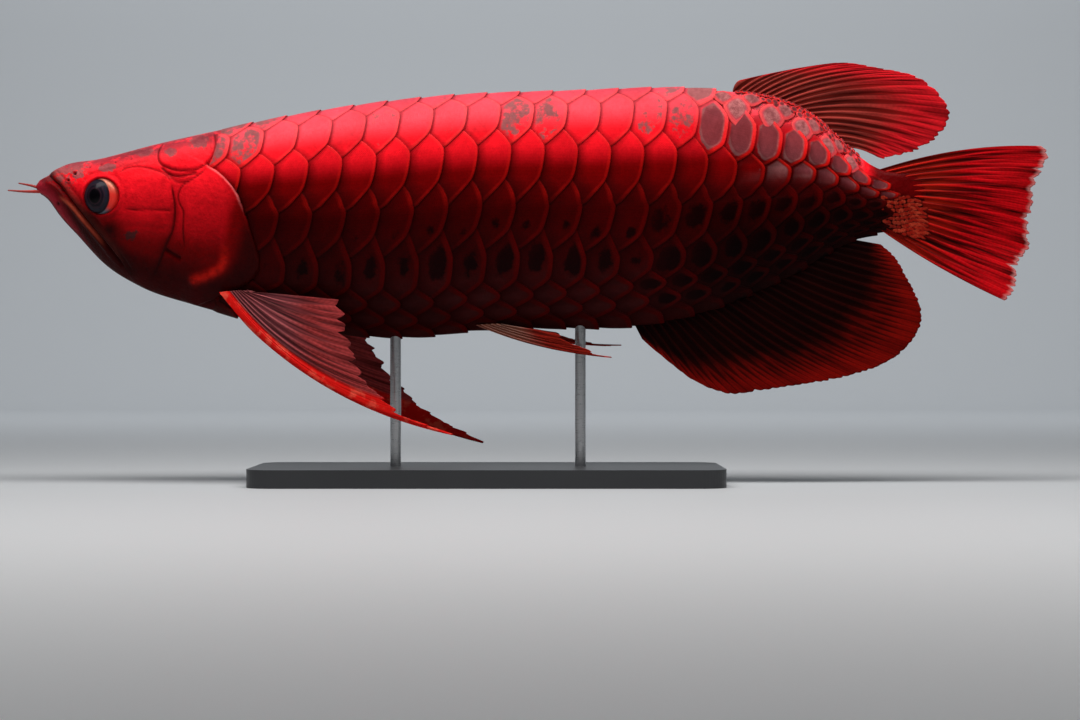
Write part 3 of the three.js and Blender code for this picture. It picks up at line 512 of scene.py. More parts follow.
def buildSkin():
    # rings of the body's section along its length, each point moved out by the head's relief
    plan = skinPlan
    headX = plan["headEnd"] * np.linspace(0, 1, plan["headRings"]) ** 1.12
    trunkX = np.linspace(plan["headEnd"], plan["tailEnd"], plan["trunkRings"] + 1)[1:]
    stations = np.concatenate([headX, trunkX])
    turns = np.linspace(0, 2 * np.pi, plan["around"], endpoint=False)
    x, turn = np.meshgrid(stations, turns, indexing="ij")
    points = skinAt(x, turn)
    out = skinOut(np.maximum(x, 1.5), turn)
    flank = np.abs(out[..., 1])
    lift, masks = headShape(points[..., 0], points[..., 2])
    onHead = 1 - ease(x, 118, 126)
    strength = onHead * ease(flank, 0.25, 0.6)
    shrink = 0.55 * ease(x, 60, 110)  # the trunk's skin lies under the scales
    points = points + out * (lift * strength - shrink * ease(x, 96, 126))[..., None]
    # the lower jaw's tip stands out in front of the snout as a rounded wedge
    tipShare = bump(points[..., 2] - 15.2, 4.6) * (1 - ease(x, -1, 8.5)) * (points[..., 2] < 21.5)
    points[..., 0] -= 4.4 * tipShare
    # the stalk thins to the tail fin's root and ends rounded
    thin = 1 - 0.62 * ease(x, 470, plan["tailEnd"])
    points[..., 1] *= thin
    end = ease(x, plan["tailEnd"] - 9, plan["tailEnd"] + 0.5)
    points[..., 2] = 8 + (points[..., 2] - 8) * (1 - 0.35 * end**2)
    # blunt cap before the first ring
    cap = np.linspace(0.04, 1, plan["noseRings"], endpoint=False) * np.pi / 2
    middle = points[0].mean(0)
    nose = middle + np.sin(cap)[:, None, None] * (points[0] - middle)
    nose[..., 0] -= plan["noseReach"] * np.cos(cap)[:, None]
    allPoints = np.concatenate([nose, points])
    rows, columns = allPoints.shape[:2]
    flat = allPoints.reshape(-1, 3)
    flat = np.concatenate([flat, [flat[:columns].mean(0), flat[-columns:].mean(0)]])
    faceSets = tubeFaces(flat, rows, columns)
    along = flat[:, 0]
    depth = depthAt(flat)
    depth = depth + (1 - ease(along, 100, 124)) * (np.interp(depth, headFade["at"], headFade["as"]) - depth)
    # painted shade on the low rear, and darker still on the tail stalk
    dim = lowRearShade(along, depth) * (1 - 0.45 * ease(along, 452, 470))
    values = {"depth": depth, "along": along / 500, "dim": dim}
    for name, mask in masks.items():
        values[name] = np.zeros(len(flat))
        values[name][nose.shape[0] * columns:-2] = (mask * (onHead if name == "crown" else strength)).ravel()
    values["smudge"] = np.max([bump(np.hypot((along - x0) / wide, (flat[:, 2] - z0) / tall), 1.0)
                               for x0, z0, wide, tall in smudges], axis=0)
    girth = np.concatenate([np.tile(turns / (2 * np.pi), rows), [0.5, 0.5]])
    rings = np.concatenate([np.linspace(-12, -1, plan["noseRings"]), stations])
    lengthwise = (np.concatenate([np.repeat(rings, columns), [-13, 495]]) + 14) / 512
    bake = np.stack([lengthwise, girth * 0.985 + 0.006], -1)
    makePiece("skin", flat, faceSets, skinMaterial(),
              ["head", "lower_jaw", "gill_cover_left", "gill_cover_right", "torso", "tail"], bake, values)
    print("skin", sum(map(len, faceSets)), "faces")


# gloom is a painted shade
skinTones = {"crownTaupe": (0.28, 0.085, 0.088), "cheekTaupe": (0.036, 0.014, 0.014),
             "crownEdge": (0.20, 0.028, 0.040), "paintedShade": (0.022, 0.0008, 0.0008)}
skinPaint = [  # mask, its strength and its colour, one over the other
    ("jaw", 0.75, (0.034, 0.0025, 0.0025)), ("lip", 0.75, (0.060, 0.010, 0.008)),
    # the lip's rim gets a painted highlight over its own orange
    ("lipHighlight", 0.85, (0.42, 0.060, 0.032)), ("jawTip", 0.9, (0.50, 0.020, 0.040)),
    # painted highlight on the gill cover's lower bulge, broken by noise
    ("gillCrescentHighlight", 1.0, (0.62, 0.010, 0.005)),
    # seam paints shade into the head's grooves
    ("gillLight", 0.45, (0.85, 0.30, 0.30)), ("seam", 0.85, darkTones["seam"]),
    # painted shade in the nostrils and pores
    ("pitShade", 1.0, (0.008, 0.002, 0.002))]


def skinMaterial():
    look = Look("wetSkin", Roughness=0.4, Coat_Weight=0.01, Coat_Roughness=0.15, Specular_IOR_Level=0.03)
    depth = look.value("depth")
    tone = look.use(flankTone, depth=depth, **redTones)
    # taupe smudges torn into the crown and the snout, over the eye and on the cheek
    crown = depth.ramp(0.34, 0.0) * 0.34
    snout = look.value("along").ramp(0.075, 0.015) * 0.30
    reach = (crown + snout).most(look.value("smudge") * 0.50)
    torn = look.use(raggedPatch, place=look.place, reach=reach + 0.10, size=95.0, edge=0.07)
    # the taupe is darker lower on the head, partly its own colour and partly painted shade
    taupe = mix(depth.ramp(0.20, 0.28), skinTones["crownTaupe"], skinTones["cheekTaupe"])
    tone = mix(torn * 0.85, tone, taupe)
    # the crown's very edge is a dull band, broken by the red
    edgeNoise = look.place.noise(210.0, 5.0, 0.65).ramp(0.30, 0.56)
    tone = mix(look.value("crown") * edgeNoise * 0.85, tone, skinTones["crownEdge"])
    # painted shade over the head's shaded parts, broken by noise
    gloomNoise = look.place.noise(140.0, 4.0, 0.6).ramp(0.3, 0.62, 0.72, 1.0)
    tone = mix(look.value("paintedShade") * gloomNoise, tone, skinTones["paintedShade"])
    for name, strength, colour in skinPaint:
        mask = look.value(name) * strength
        if name == "gillCrescentHighlight":
            mask = mask * look.place.noise(300.0, 4.0).ramp(0.3, 0.6, 0.45, 0.9)
        tone = mix(mask, tone, colour)
    shade = look.use(softMottle, place=look.place, patchSize=42.0, amount=0.85) * look.value("dim")
    look.feed("Base Color", mix(1.0, tone, shade.grey(), "MULTIPLY"))
    pores = look.place.noise(260.0, 2.0)
    look.feed("Roughness", pores * 0.25 + 0.26)
    look.relief(look.place.noise(900.0, 4.0, 0.6) * 0.5 + pores, 0.6, 0.0009)
    return look.material


buildSkin()


# ---- scales: thin plates that lie backward over each other

rowStations = [100, 300, 350, 409, 450]
rowEdges = [smoothLine(list(zip(rowStations, shares))) for shares in (
    (0.045, 0.045, 0.05, 0.16, 0.19), (0.21, 0.21, 0.238, 0.36, 0.344), (0.435, 0.435, 0.467, 0.517, 0.48),
    (0.64, 0.64, 0.665, 0.69, 0.63), (0.82, 0.82, 0.8, 0.82, 0.77), (0.89, 0.89, 0.87, 0.89, 0.86),
    (0.95, 0.95, 0.935, 0.95, 0.93))]
scaleLean = smoothLine([(-68, -17), (-45, -17), (-27, -15.5), (-5, -10.5), (12, -5.5), (45, 0), (66, 3)])
scalePlan = {"start": 59.2, "end": 474.0, "pitch": 18.3, "pitchEnd": 11.0, "fallX": 340.0, "rows": 14,
             "tip": 0.2, "bellyTip": 0.32, "ridgeEnd": 376.0, "rise": 1.0, "ridgeRise": 0.6, "thick": 0.34,
             "rear": 0.58, "front": 0.8, "lengthwise": 15, "across": 29, "split": 255.0}
columnX = [scalePlan["start"]]
while columnX[-1] < scalePlan["end"]:
    share = np.clip((columnX[-1] - scalePlan["fallX"]) / (scalePlan["end"] - scalePlan["fallX"]), 0, 1)
    columnX.append(columnX[-1] + scalePlan["pitch"] + share * (scalePlan["pitchEnd"] - scalePlan["pitch"]))
columnX = np.array(columnX)
headEdge = [(97.5, 66), (97.2, 44), (97.2, 37), (95.2, 30), *headLines["gillEdge"][:-1], (93, -51), (91, -66)]


def atColumn(c):
    # x of a place counted in columns, carried on evenly past both ends
    n = len(columnX) - 1
    inside = np.interp(c, np.arange(n + 1), columnX)
    return inside + np.minimum(c, 0) * scalePlan["pitch"] + np.maximum(c - n, 0) * scalePlan["pitchEnd"]


def edgeTurn(k, x):
    # turn of the line over row k of the ring of rows
    half = scalePlan["rows"] // 2
    if k <= 0:
        return -edgeTurn(1 - k, x)
    if k > half:
        return 2 * np.pi - edgeTurn(scalePlan["rows"] + 1 - k, x)
    depth = rowEdges[k - 1](x)
    return turnAt(x, backZ(x) - depth * (backZ(x) - bellyZ(x)))


def rowSpan(k, x):
    return edgeTurn(k + 1, x) - edgeTurn(k, x)


def scalePlate(h, k):
    # one plate at half column h of row k, on a grid (lengthwise p, across q) that fills a leaf shape:
    # its rear edge is rear * (1 - |q|^n), its front goes under the plates ahead, and it rises to the rear
    plan = scalePlan
    t = np.linspace(0, 1, plan["lengthwise"])
    p = (1 - (1 - t) ** 1.7)[:, None]
    q = np.sin(np.linspace(-1, 1, plan["across"]) * np.pi / 2 * 0.93)[None, :] / math.sin(np.pi / 2 * 0.93)
    low = min(k, plan["rows"] - k)
    share = plan["tip"] if low <= 3 else plan["bellyTip"]
    x0 = atColumn(h / 2)
    span = rowSpan(k, x0)
    over = share * min(rowSpan(k - 1, x0), span) / span
    under = share * min(rowSpan(k + 1, x0), span) / span
    u = np.where(q < 0, over, under)
    corner = np.clip((0.5 - u) / (0.5 + u), 0.05, 0.95)
    power = np.clip(np.log(0.138) / np.log(corner), 1.3, 3.0)
    rounder = plan["rear"] * (1 - np.abs(q) ** power)
    bend = np.abs(q) - corner
    straight = 0.52 - 0.5 * (np.sqrt(bend**2 + 0.006) + bend) / (2 * (1 - corner)) + 0.035 * (1 - q**2)
    rear = 0.35 * rounder + 0.65 * straight
    front = -0.10 - (plan["front"] - 0.10) * (1 - np.abs(q) ** 4) ** 0.6
    a = front + (rear - front) * p
    g = q * (0.5 + u)
    x = atColumn(h / 2 + a)
    turn = edgeTurn(k, x) + (0.5 + g) * rowSpan(k, x)
    plain = skinAt(x, turn)
    x = x + scaleLean(plain[..., 2])
    points = skinAt(x, turn)
    out = skinOut(x, turn)
    pitch = atColumn(h / 2 + 0.5) - atColumn(h / 2 - 0.5)
    # distance to the rear edge, measured square to it
    tall = np.linalg.norm(points[-1, -1] - points[-1, 0]) / 2
    slope = np.gradient(rear[0], q[0]) * pitch / max(tall, 1)
    toRim = (rear - a) * pitch / np.sqrt(1 + slope**2)
    rise = plan["rise"] * (plan["ridgeRise"] if low == 0 else 1)
    lift = rise * (a + 0.5) + 0.22 * (1 - q**2) * ease(p, 0, 0.6)
    lift = lift + 0.06 * bump(toRim - 1.0, 0.7) - 0.14 * bump(toRim, 0.35)
    # plates go under the head's rear edge, and thin out on the tail stalk
    near, side, _ = lineDistance(points[..., 0], points[..., 2], headEdge)
    ahead = np.where(side > 0, near, -near)
    lift = lift * (1 - 0.45 * ease(x, 440, 478)) - 5.0 * ease(ahead, -1.0, 2.2)
    thick = plan["thick"] * (0.55 + 0.45 * ease(toRim, 0, 1.2))
    # distance behind the rear edges of the plates ahead, which bound the seen part
    edge = -0.5 + 0.08 * (1 - q**2) + 0.5 * np.clip((np.abs(q) - corner) / (1 - corner), 0, 1)
    slope = np.gradient(edge[0], q[0]) * pitch / max(tall, 1)
    toFront = (a - edge) * pitch / np.sqrt(1 + slope**2)
    top = points + out * lift[..., None]
    under = points + out * (lift - thick)[..., None]
    downward = q if k < plan["rows"] // 2 else -q
    return top, under, {"toRim": toRim, "inCell": a + 0.5, "across": downward + 0 * a, "toFront": toFront,
                        "ahead": ahead, "x0": x0, "low": low}


def plateFaces(rows, columns):
    # closed plate from a top grid and an under grid of the same size: both faces and the wall round them
    count = rows * columns
    top = gridFaces(rows, columns)
    under = top[:, ::-1] + count
    j = np.arange(columns - 1)
    i = np.arange(rows - 1)
    last = (rows - 1) * columns
    sides = ((j, j + 1), ((i + 1) * columns - 1, (i + 2) * columns - 1), (last + j + 1, last + j),
             ((i + 1) * columns, i * columns))
    rim = np.concatenate([np.stack(side, -1) for side in sides])
    wall = np.stack([rim[:, 1], rim[:, 0], rim[:, 0] + count, rim[:, 1] + count], -1)
    return np.concatenate([top, under, wall])


def scaleTones(x, low, tick):
    # how taupe and how black one scale is, by its place along the body and its row from the back
    rearUpper = (ease(x, 332, 376) * (low <= 1) + ease(x, 372, 425) * (low == 2) * 0.9
                 + ease(x, 436, 460) * (low == 3) * 0.5)
    firstBack = (1 - ease(x, 118, 150)) * (low <= 1) * 0.46 + (1 - ease(x, 96, 118)) * (low == 2) * 0.42
    midBack = 0.47 * (low <= 1) * (0.35 + 0.65 * tick) * ease(x, 150, 200)
    lowBelly = ease(x, 128, 165) * (1 - ease(x, 330, 380)) * {4: 0.72, 5: 0.85, 6: 0.80, 7: 0.7}.get(low, 0)
    taupe = np.clip(max(rearUpper, firstBack, midBack, lowBelly), 0, 1)
    rearBlack = ease(x, 330, 365) * {3: 0.75, 4: 1.0, 5: 1.0, 6: 0.9, 7: 0.7}.get(low, 0)
    flankBlack = ease(x, 115, 170) * {3: 0.72, 4: 1.0}.get(low, 0) * (0.60 + 0.40 * tick)
    black = np.clip(max(rearBlack, flankBlack), 0, 1)
    return taupe, black


heartOvals = {"spot": (0.60, 0.32, 0.24, 0.26), "tall": (0.60, -0.06, 0.32, 0.56),
              "rear": (0.56, -0.06, 0.46, 0.62)}  # middle and half sizes in the cell


def buildScales():
    # every plate of both flanks, grouped into four pieces by side and length
    plan = scalePlan
    size = (plan["lengthwise"], plan["across"])
    faces = plateFaces(*size)
    count = size[0] * size[1]
    groups = {}
    columns = len(columnX) - 1
    for k in range(plan["rows"]):
        for i in range(columns):
            h = 2 * i + 1 + (k % 2)
            if h > 2 * columns - 1:
                continue
            top, under, grid = scalePlate(h, k)
            if (grid["ahead"] > 2.0).mean() > 0.93 or (k == 0 and grid["x0"] > plan["ridgeEnd"]):
                continue
            x0, low = grid["x0"], grid["low"]
            flank = "left" if k < plan["rows"] // 2 else "right"
            name = flank + ("_front" if x0 < plan["split"] else "_rear")
            tick = rng.random()
            taupe, black = scaleTones(x0, low, tick)
            part = groups.setdefault(name, {"points": [], "bake": [], "values": []})
            both = np.concatenate([top.reshape(-1, 3), under.reshape(-1, 3)])
            depth = depthAt(both)
            toRim, inCell, across, toFront = (np.tile(grid[key].ravel(), 2) for key in (
                "toRim", "inCell", "across", "toFront"))
            patch = taupe + 0 * across
            if low == 1 and x0 > 330:
                rounded = ((inCell - 0.56) / 0.46) ** 2 + (across / 0.80) ** 2
                patch = taupe * (1 - 0.62 * ease(rounded, 0.55, 1.25))
            elif low == 2:
                patch = taupe * (1 - 0.75 * ease(across, -0.25, 0.6) * (1 - ease(x0, 425, 445)))
            elif low == 4:
                patch = taupe * ease(across, -0.35, 0.85)
            midA, midB, halfA, halfB = heartOvals["rear" if x0 > 345 else "spot" if low == 3 else "tall"]
            shift, grow = rng.uniform(-0.12, 0.12, 2), rng.uniform(0.75, 1.2)
            oval = ((inCell - midA - shift[0]) / halfA) ** 2 + ((across - midB - shift[1]) / halfB) ** 2
            part["values"].append([toRim, across, toFront, depth, patch, black * np.exp(-oval / grow),
                                   tick + 0 * toRim, lowRearShade(both[:, 0], depth)])
            part["points"].append(both)
            # the plate's patch of the unwrap: its cell's place, top over most of it, underside in a strip
            u = np.linspace(0, 1, size[0])[:, None] + np.zeros(size)
            v = np.linspace(0, 1, size[1])[None, :] + np.zeros(size)
            cellU = np.concatenate([(0.03 + 0.80 * u ** 0.8).ravel(), (0.86 + 0.10 * u).ravel()])
            cellV = np.tile((0.04 + 0.92 * v).ravel(), 2)
            part["bake"].append(np.stack([h / 2 + cellU, k + cellV], -1))
    return groups, faces, 2 * count


plateTones = {
    "taupe": (0.24, 0.085, 0.086), "taupeLow": (0.042, 0.008, 0.008), "coreBorder": (0.42, 0.130, 0.120),
    "coreHeart": (0.170, 0.038, 0.045), "corePale": (0.68, 0.235, 0.225), "coreSpeck": (0.145, 0.032, 0.036),
    "rimBack": (0.95, 0.080, 0.080), "rimFlank": (0.80, 0.012, 0.007), "rimLow": (0.075, 0.0006, 0.0006)}


def scaleMaterial():
    look = Look("scaleLacquer", Coat_Weight=0.01, Coat_Roughness=0.15, Specular_IOR_Level=0.02)
    depth, toRim, toFront, across, taupe, black, tick, dim = look.value(
        "depth", "toRim", "toFront", "across", "taupe", "black", "tick", "dim")
    tone = look.use(flankTone, depth=depth, **redTones)
    # core of the scale: away from its rim and from the plates ahead
    core = toRim.ramp(1.5, 3.2) * toFront.ramp(0.2, 1.9)
    coreNoise = look.place.noise(330.0, 5.0, 0.65)
    mixedNoise = look.place.noise(120.0, 4.0, 0.6) * 0.6 + coreNoise * 0.4
    # taupe: wide soft cores where it is strong, torn patches where it is weak, a soft wash low on the flank
    torn = (taupe * 1.1 + mixedNoise * 0.95).ramp(0.90, 1.02)
    wash = taupe * mixedNoise.ramp(0.35, 0.65, 0.35, 1.0)
    low = depth.ramp(0.38, 0.46)
    # rear cores have a darker heart and a paler border, and are palest beside the dorsal fin
    coreTone = mix(toRim.ramp(2.0, 4.0), plateTones["coreBorder"], plateTones["coreHeart"])
    coreTone = mix(depth.ramp(0.05, 0.11, 0.72, 0.0), coreTone, plateTones["corePale"])
    coreTone = mix(coreNoise.ramp(0.32, 0.66, 0.0, 0.75), coreTone, plateTones["coreSpeck"])
    taupeTone = mix(taupe.ramp(0.66, 0.86), plateTones["taupe"], coreTone)
    # the taupe is darker low on the flank, partly its own colour and partly painted shade
    taupeTone = mix(depth.ramp(0.36, 0.50), taupeTone, plateTones["taupeLow"])
    tone = mix(core * (torn * (1.0 - low) + wash * low) * 0.92, tone, taupeTone)
    # black heart of the lower scales, torn at its edge
    heart = (black + mixedNoise * 1.15).ramp(0.93, 1.16) * core
    tone = mix(heart * 0.93, tone, darkTones["blotchAndHighlight"])
    # rim: orange-red net of the scales' own colour, pinker high on the back with the painted sheen, wider and
    # darker low on the flank, partly by painted shade
    rimMask = toRim.ramp(depth.ramp(0.35, 0.60, 2.4, 3.7), depth.ramp(0.35, 0.60, 1.1, 1.7))
    rimTone = mix(depth.ramp(0.05, 0.30), plateTones["rimBack"], plateTones["rimFlank"])
    rimTone = mix(depth.ramp(0.28, 0.50), rimTone, plateTones["rimLow"])
    tone = mix(rimMask * (taupe.most(low) * 0.62 + 0.22), tone, rimTone)
    # painted shade: a dark line at each plate's edge, and a painted shadow behind the plates ahead that is
    # wider low on the flank
    tone = mix(toRim.ramp(0.5, 0.1) * 0.5, tone, darkTones["seam"])
    paintedShade = (1.0 - toFront / depth.ramp(0.10, 0.45, 1.6, 8.0)).clamped()
    tone = mix(paintedShade * depth.ramp(0.05, 0.40, 0.45, 0.72), tone, darkTones["seam"])
    # the low rear's painted shade is multiplied into the tone with the mottle
    shade = look.use(softMottle, place=look.place, patchSize=55.0, amount=0.6) * (tick * 0.16 + 0.92) * dim
    look.feed("Base Color", mix(1.0, tone, shade.grey(), "MULTIPLY"))
    # growth rings follow the rear edge, fine rays run to it
    rings = ((toRim + coreNoise * 0.5) * 7.5).sine()
    rays = (across * 70.0).sine()
    look.relief(rings * 0.35 + rays * 0.12 + coreNoise * 1.4, 0.3, 0.0004)
    look.feed("Roughness", coreNoise * 0.22 + 0.27)
    return look.material


scaleValues = ("toRim", "across", "toFront", "depth", "taupe", "black", "tick", "dim")
scaleGroups, scaleFaces, scaleStep = buildScales()
scaleLook = scaleMaterial()
for name, part in scaleGroups.items():
    number = len(part["points"])
    points = np.concatenate(part["points"])
    faces, = outwardFaces(points[:scaleStep], scaleFaces)
    faces = (faces[None] + scaleStep * np.arange(number)[:, None, None]).reshape(-1, 4)
    values = dict(zip(scaleValues, np.concatenate(part["values"], axis=1)))
    bake = np.concatenate(part["bake"])
    bake = (bake - bake.min(0) + 0.02) / (bake.max(0) - bake.min(0) + 0.04)
    makePiece("scales_" + name, points, [faces], scaleLook, (), bake, values)
    print("scales", name, number, "plates", 2 * len(faces), "triangles")


# ---- grains: small domed scales along the dorsal fin's base and over the tail fin's base


def buildGrains(name, look, surface, spots, sizes, depths, taupe, ticks):
    # rounded diamonds (|cos|^n + |sin|^n)^(-1/n) laid on a surface of two parameters, domed in the middle;
    # spots are the parameters, sizes are half length, half height, rise, n and lean
    polar = np.linspace(0.10, np.pi - 0.10, 9)[:, None]
    angle = np.linspace(0, 2 * np.pi, 16, endpoint=False)[None, :]
    rows, columns = polar.shape[0], angle.shape[1]
    power = sizes[:, 3, None, None]
    reach = (np.abs(np.cos(angle)) ** power + np.abs(np.sin(angle)) ** power) ** (-1 / power) * np.sin(polar)
    pole = np.zeros((len(spots), 2))
    radial = np.concatenate([(np.sin(polar) + 0 * angle).ravel(), [0, 0]])
    unitA = np.concatenate([(reach * np.cos(angle)).reshape(len(spots), -1), pole], 1) * sizes[:, :1]
    unitB = np.concatenate([(reach * np.sin(angle)).reshape(len(spots), -1), pole], 1) * sizes[:, 1:2]
    dome = np.concatenate([(np.cos(polar) + 0 * angle).ravel(), [1, -1]]) * sizes[:, 2:3]
    lean = sizes[:, 4:5]
    a0, b0 = spots[:, :1], spots[:, 1:]
    small = 1e-3
    stepA, stepB = (np.linalg.norm(surface(a0 + small * da, b0 + small * db) - surface(a0, b0), axis=-1) / small
                    for da, db in ((1, 0), (0, 1)))
    a = a0 + (unitA * np.cos(lean) - unitB * np.sin(lean)) / stepA
    b = b0 + (unitA * np.sin(lean) + unitB * np.cos(lean)) / stepB
    ground = surface(a, b)
    out = np.cross(surface(a + 0.5 / stepA, b) - surface(a - 0.5 / stepA, b),
                   surface(a, b + 0.5 / stepB) - surface(a, b - 0.5 / stepB))
    out /= np.maximum(np.linalg.norm(out, axis=-1, keepdims=True), 1e-9)
    axis = np.stack([ground[..., 0], 0 * a, waistZ(ground[..., 0])], -1)
    out *= np.sign(((ground - axis) * out).sum(-1, keepdims=True))
    points = ground + out * (dome + 0.3)[..., None]
    quads, fans = tubeFaces(points[0], rows, columns)
    step = len(radial) * np.arange(len(spots))[:, None, None]
    each = np.ones((len(spots), len(radial)))
    values = {"toRim": 6.5 * (1 - radial) * each, "toFront": 9 * each, "across": 0.5 * radial * each,
              "depth": depths[:, None] * each, "taupe": taupe * each, "black": 0 * each,
              "tick": ticks[:, None] * each, "dim": each}
    around = np.mod(b, 2 * np.pi) / (2 * np.pi)
    bake = np.stack([a.ravel(), around.ravel()], -1)
    bake = (bake - bake.min(0)) / (bake.max(0) - bake.min(0)) * 0.96 + 0.02
    bake[:, 0] = 0.5 * bake[:, 0] + 0.5 * np.tile(dome[0] < 0, len(spots))
    faceSets = [(faces[None] + step).reshape(-1, faces.shape[1]) for faces in (quads, fans)]
    makePiece(name, points.reshape(-1, 3), faceSets, look, (), bake, values)
    print(name, len(spots), "grains")


backGrains = {  # beside the dorsal fin: x, drop below the back, half length, half height
    "leaves": [(384.6, 10.2, 8.2, 9.6), (403.8, 12.0, 7.8, 9.2), (420.8, 12.6, 6.9, 8.2),
               (435.4, 12.0, 6.0, 7.0), (448.4, 9.4, 5.2, 5.6), (377.0, 4.2, 7.0, 5.2),
               (393.0, 4.4, 6.4, 4.8), (411.6, 6.4, 6.0, 5.6), (427.4, 7.0, 5.4, 5.2),
               (441.2, 5.8, 4.8, 4.4)],
    "rows": [(386, 455, 1.2, 2.9, 1.6), (396, 454, 3.5, 3.5, 1.9), (407, 453, 5.8, 4.1, 2.0)]}


def dorsalGrains():
    # the large leaves, then rows of beads: start, end, drop, gap and half size
    x, drop, half, high = np.array(backGrains["leaves"]).T
    spots = [np.stack([x, turnAt(x, backZ(x) - drop)], -1)]
    sizes = [np.stack([half, high, 0.5 + 0 * x, 1.4 + 0 * x, 0.12 + 0 * x], -1)]
    depths = [np.where(drop > 8.5, 0.0, 0.022)]
    ticks = [np.where(drop > 8.5, -0.1, -0.9)]
    for start, end, drop, gapLong, size in backGrains["rows"]:
        x = np.arange(start, end, gapLong)
        x = x + rng.normal(0, 0.1 * gapLong, len(x))
        z = backZ(x) - drop + rng.normal(0, 0.15 * size, len(x))
        grow = size * rng.uniform(0.88, 1.15, len(x)) * (1 - 0.25 * ease(x, 430, 455))
        spots.append(np.stack([x, turnAt(x, z)], -1))
        sizes.append(np.stack([grow * 1.1, grow, 0.4 + 0 * x, 1.8 + 0 * x, rng.normal(0, 0.3, len(x))], -1))
        depths.append(rng.uniform(0.12, 0.26, len(x)))
        ticks.append(rng.uniform(-2.0, 0.3, len(x)))
    spots, sizes, depths, ticks = (np.concatenate(part) for part in (spots, sizes, depths, ticks))
    return spots, sizes, depths, 0.95, ticks


def tailGrains():
    # staggered rows of narrow grains over the middle of the tail fin's base, the last ones finger shaped
    spots, sizes = [], []
    for n, x0 in enumerate(np.arange(467, 491, 2.4)):
        top = np.interp(x0, [467, 474, 484, 491], [10, 13, 10, 3])
        low = np.interp(x0, [467, 474, 484, 491], [-6, -10, -13, -10])
        z = np.arange(low + 1.1 * (n % 2), top, 2.2)
        x = x0 + rng.normal(0, 0.35, len(z)) - 0.12 * (z - 2)
        finger = ease(x, 480, 488)
        spots.append(np.stack([x, z], -1))
        sizes.append(np.stack([1.7 + 1.7 * finger, 1.15 - 0.2 * finger, 0.14 + 0 * z, 1.9 + 0 * z,
                               0.012 * (z - 8) - 0.1 + rng.normal(0, 0.14, len(z))], -1))
    spots, sizes = np.concatenate(spots), np.concatenate(sizes)
    count = len(spots)
    return spots, sizes, rng.uniform(0.3, 0.4, count), 0.0, rng.uniform(0, 1, count)


def stalkSurface(side):
    # the end of the tail stalk and the first of the tail fin, by station and height
    def surface(x, z):
        inside = np.clip(z, bellyZ(np.minimum(x, 489)) + 1.0, backZ(np.minimum(x, 489)) - 1.0)
        half = np.maximum(flankY(np.minimum(x, 489), inside) * (1 - 0.62 * ease(x, 470, 491)), 1.15)
        return np.stack([x, side * half, z], -1)
    return surface


grainTones = {"edge": (0.055, 0.0015, 0.0008), "middle": (0.22, 0.007, 0.003), "speck": (0.44, 0.050, 0.022)}


def grainMaterial():
    # dark red grains specked with orange, each a little different
    look = Look("stalkGrain", Roughness=0.42, Coat_Weight=0.02, Coat_Roughness=0.2, Specular_IOR_Level=0.05)
    speck = look.place.noise(620.0, 4.0, 0.7)
    tone = mix(look.value("toRim").ramp(0.3, 2.4), grainTones["edge"], grainTones["middle"])
    bright = speck + look.value("tick") * 0.30
    look.feed("Base Color", mix(bright.ramp(0.60, 0.90, 0.0, 0.7), tone, grainTones["speck"]))
    look.relief(speck, 0.4, 0.0004)
    return look.material


stalkLook = grainMaterial()
for side, word in ((-1, "left"), (1, "right")):
    spots, *rest = dorsalGrains()
    turned = spots if side < 0 else np.stack([spots[:, 0], 2 * np.pi - spots[:, 1]], -1)
    buildGrains("dorsal_grains_" + word, scaleLook, skinAt, turned, *rest)
    buildGrains("tail_grains_" + word, stalkLook, stalkSurface(side), *tailGrains())


# ---- fins: a membrane with jointed rays that branch towards the edge


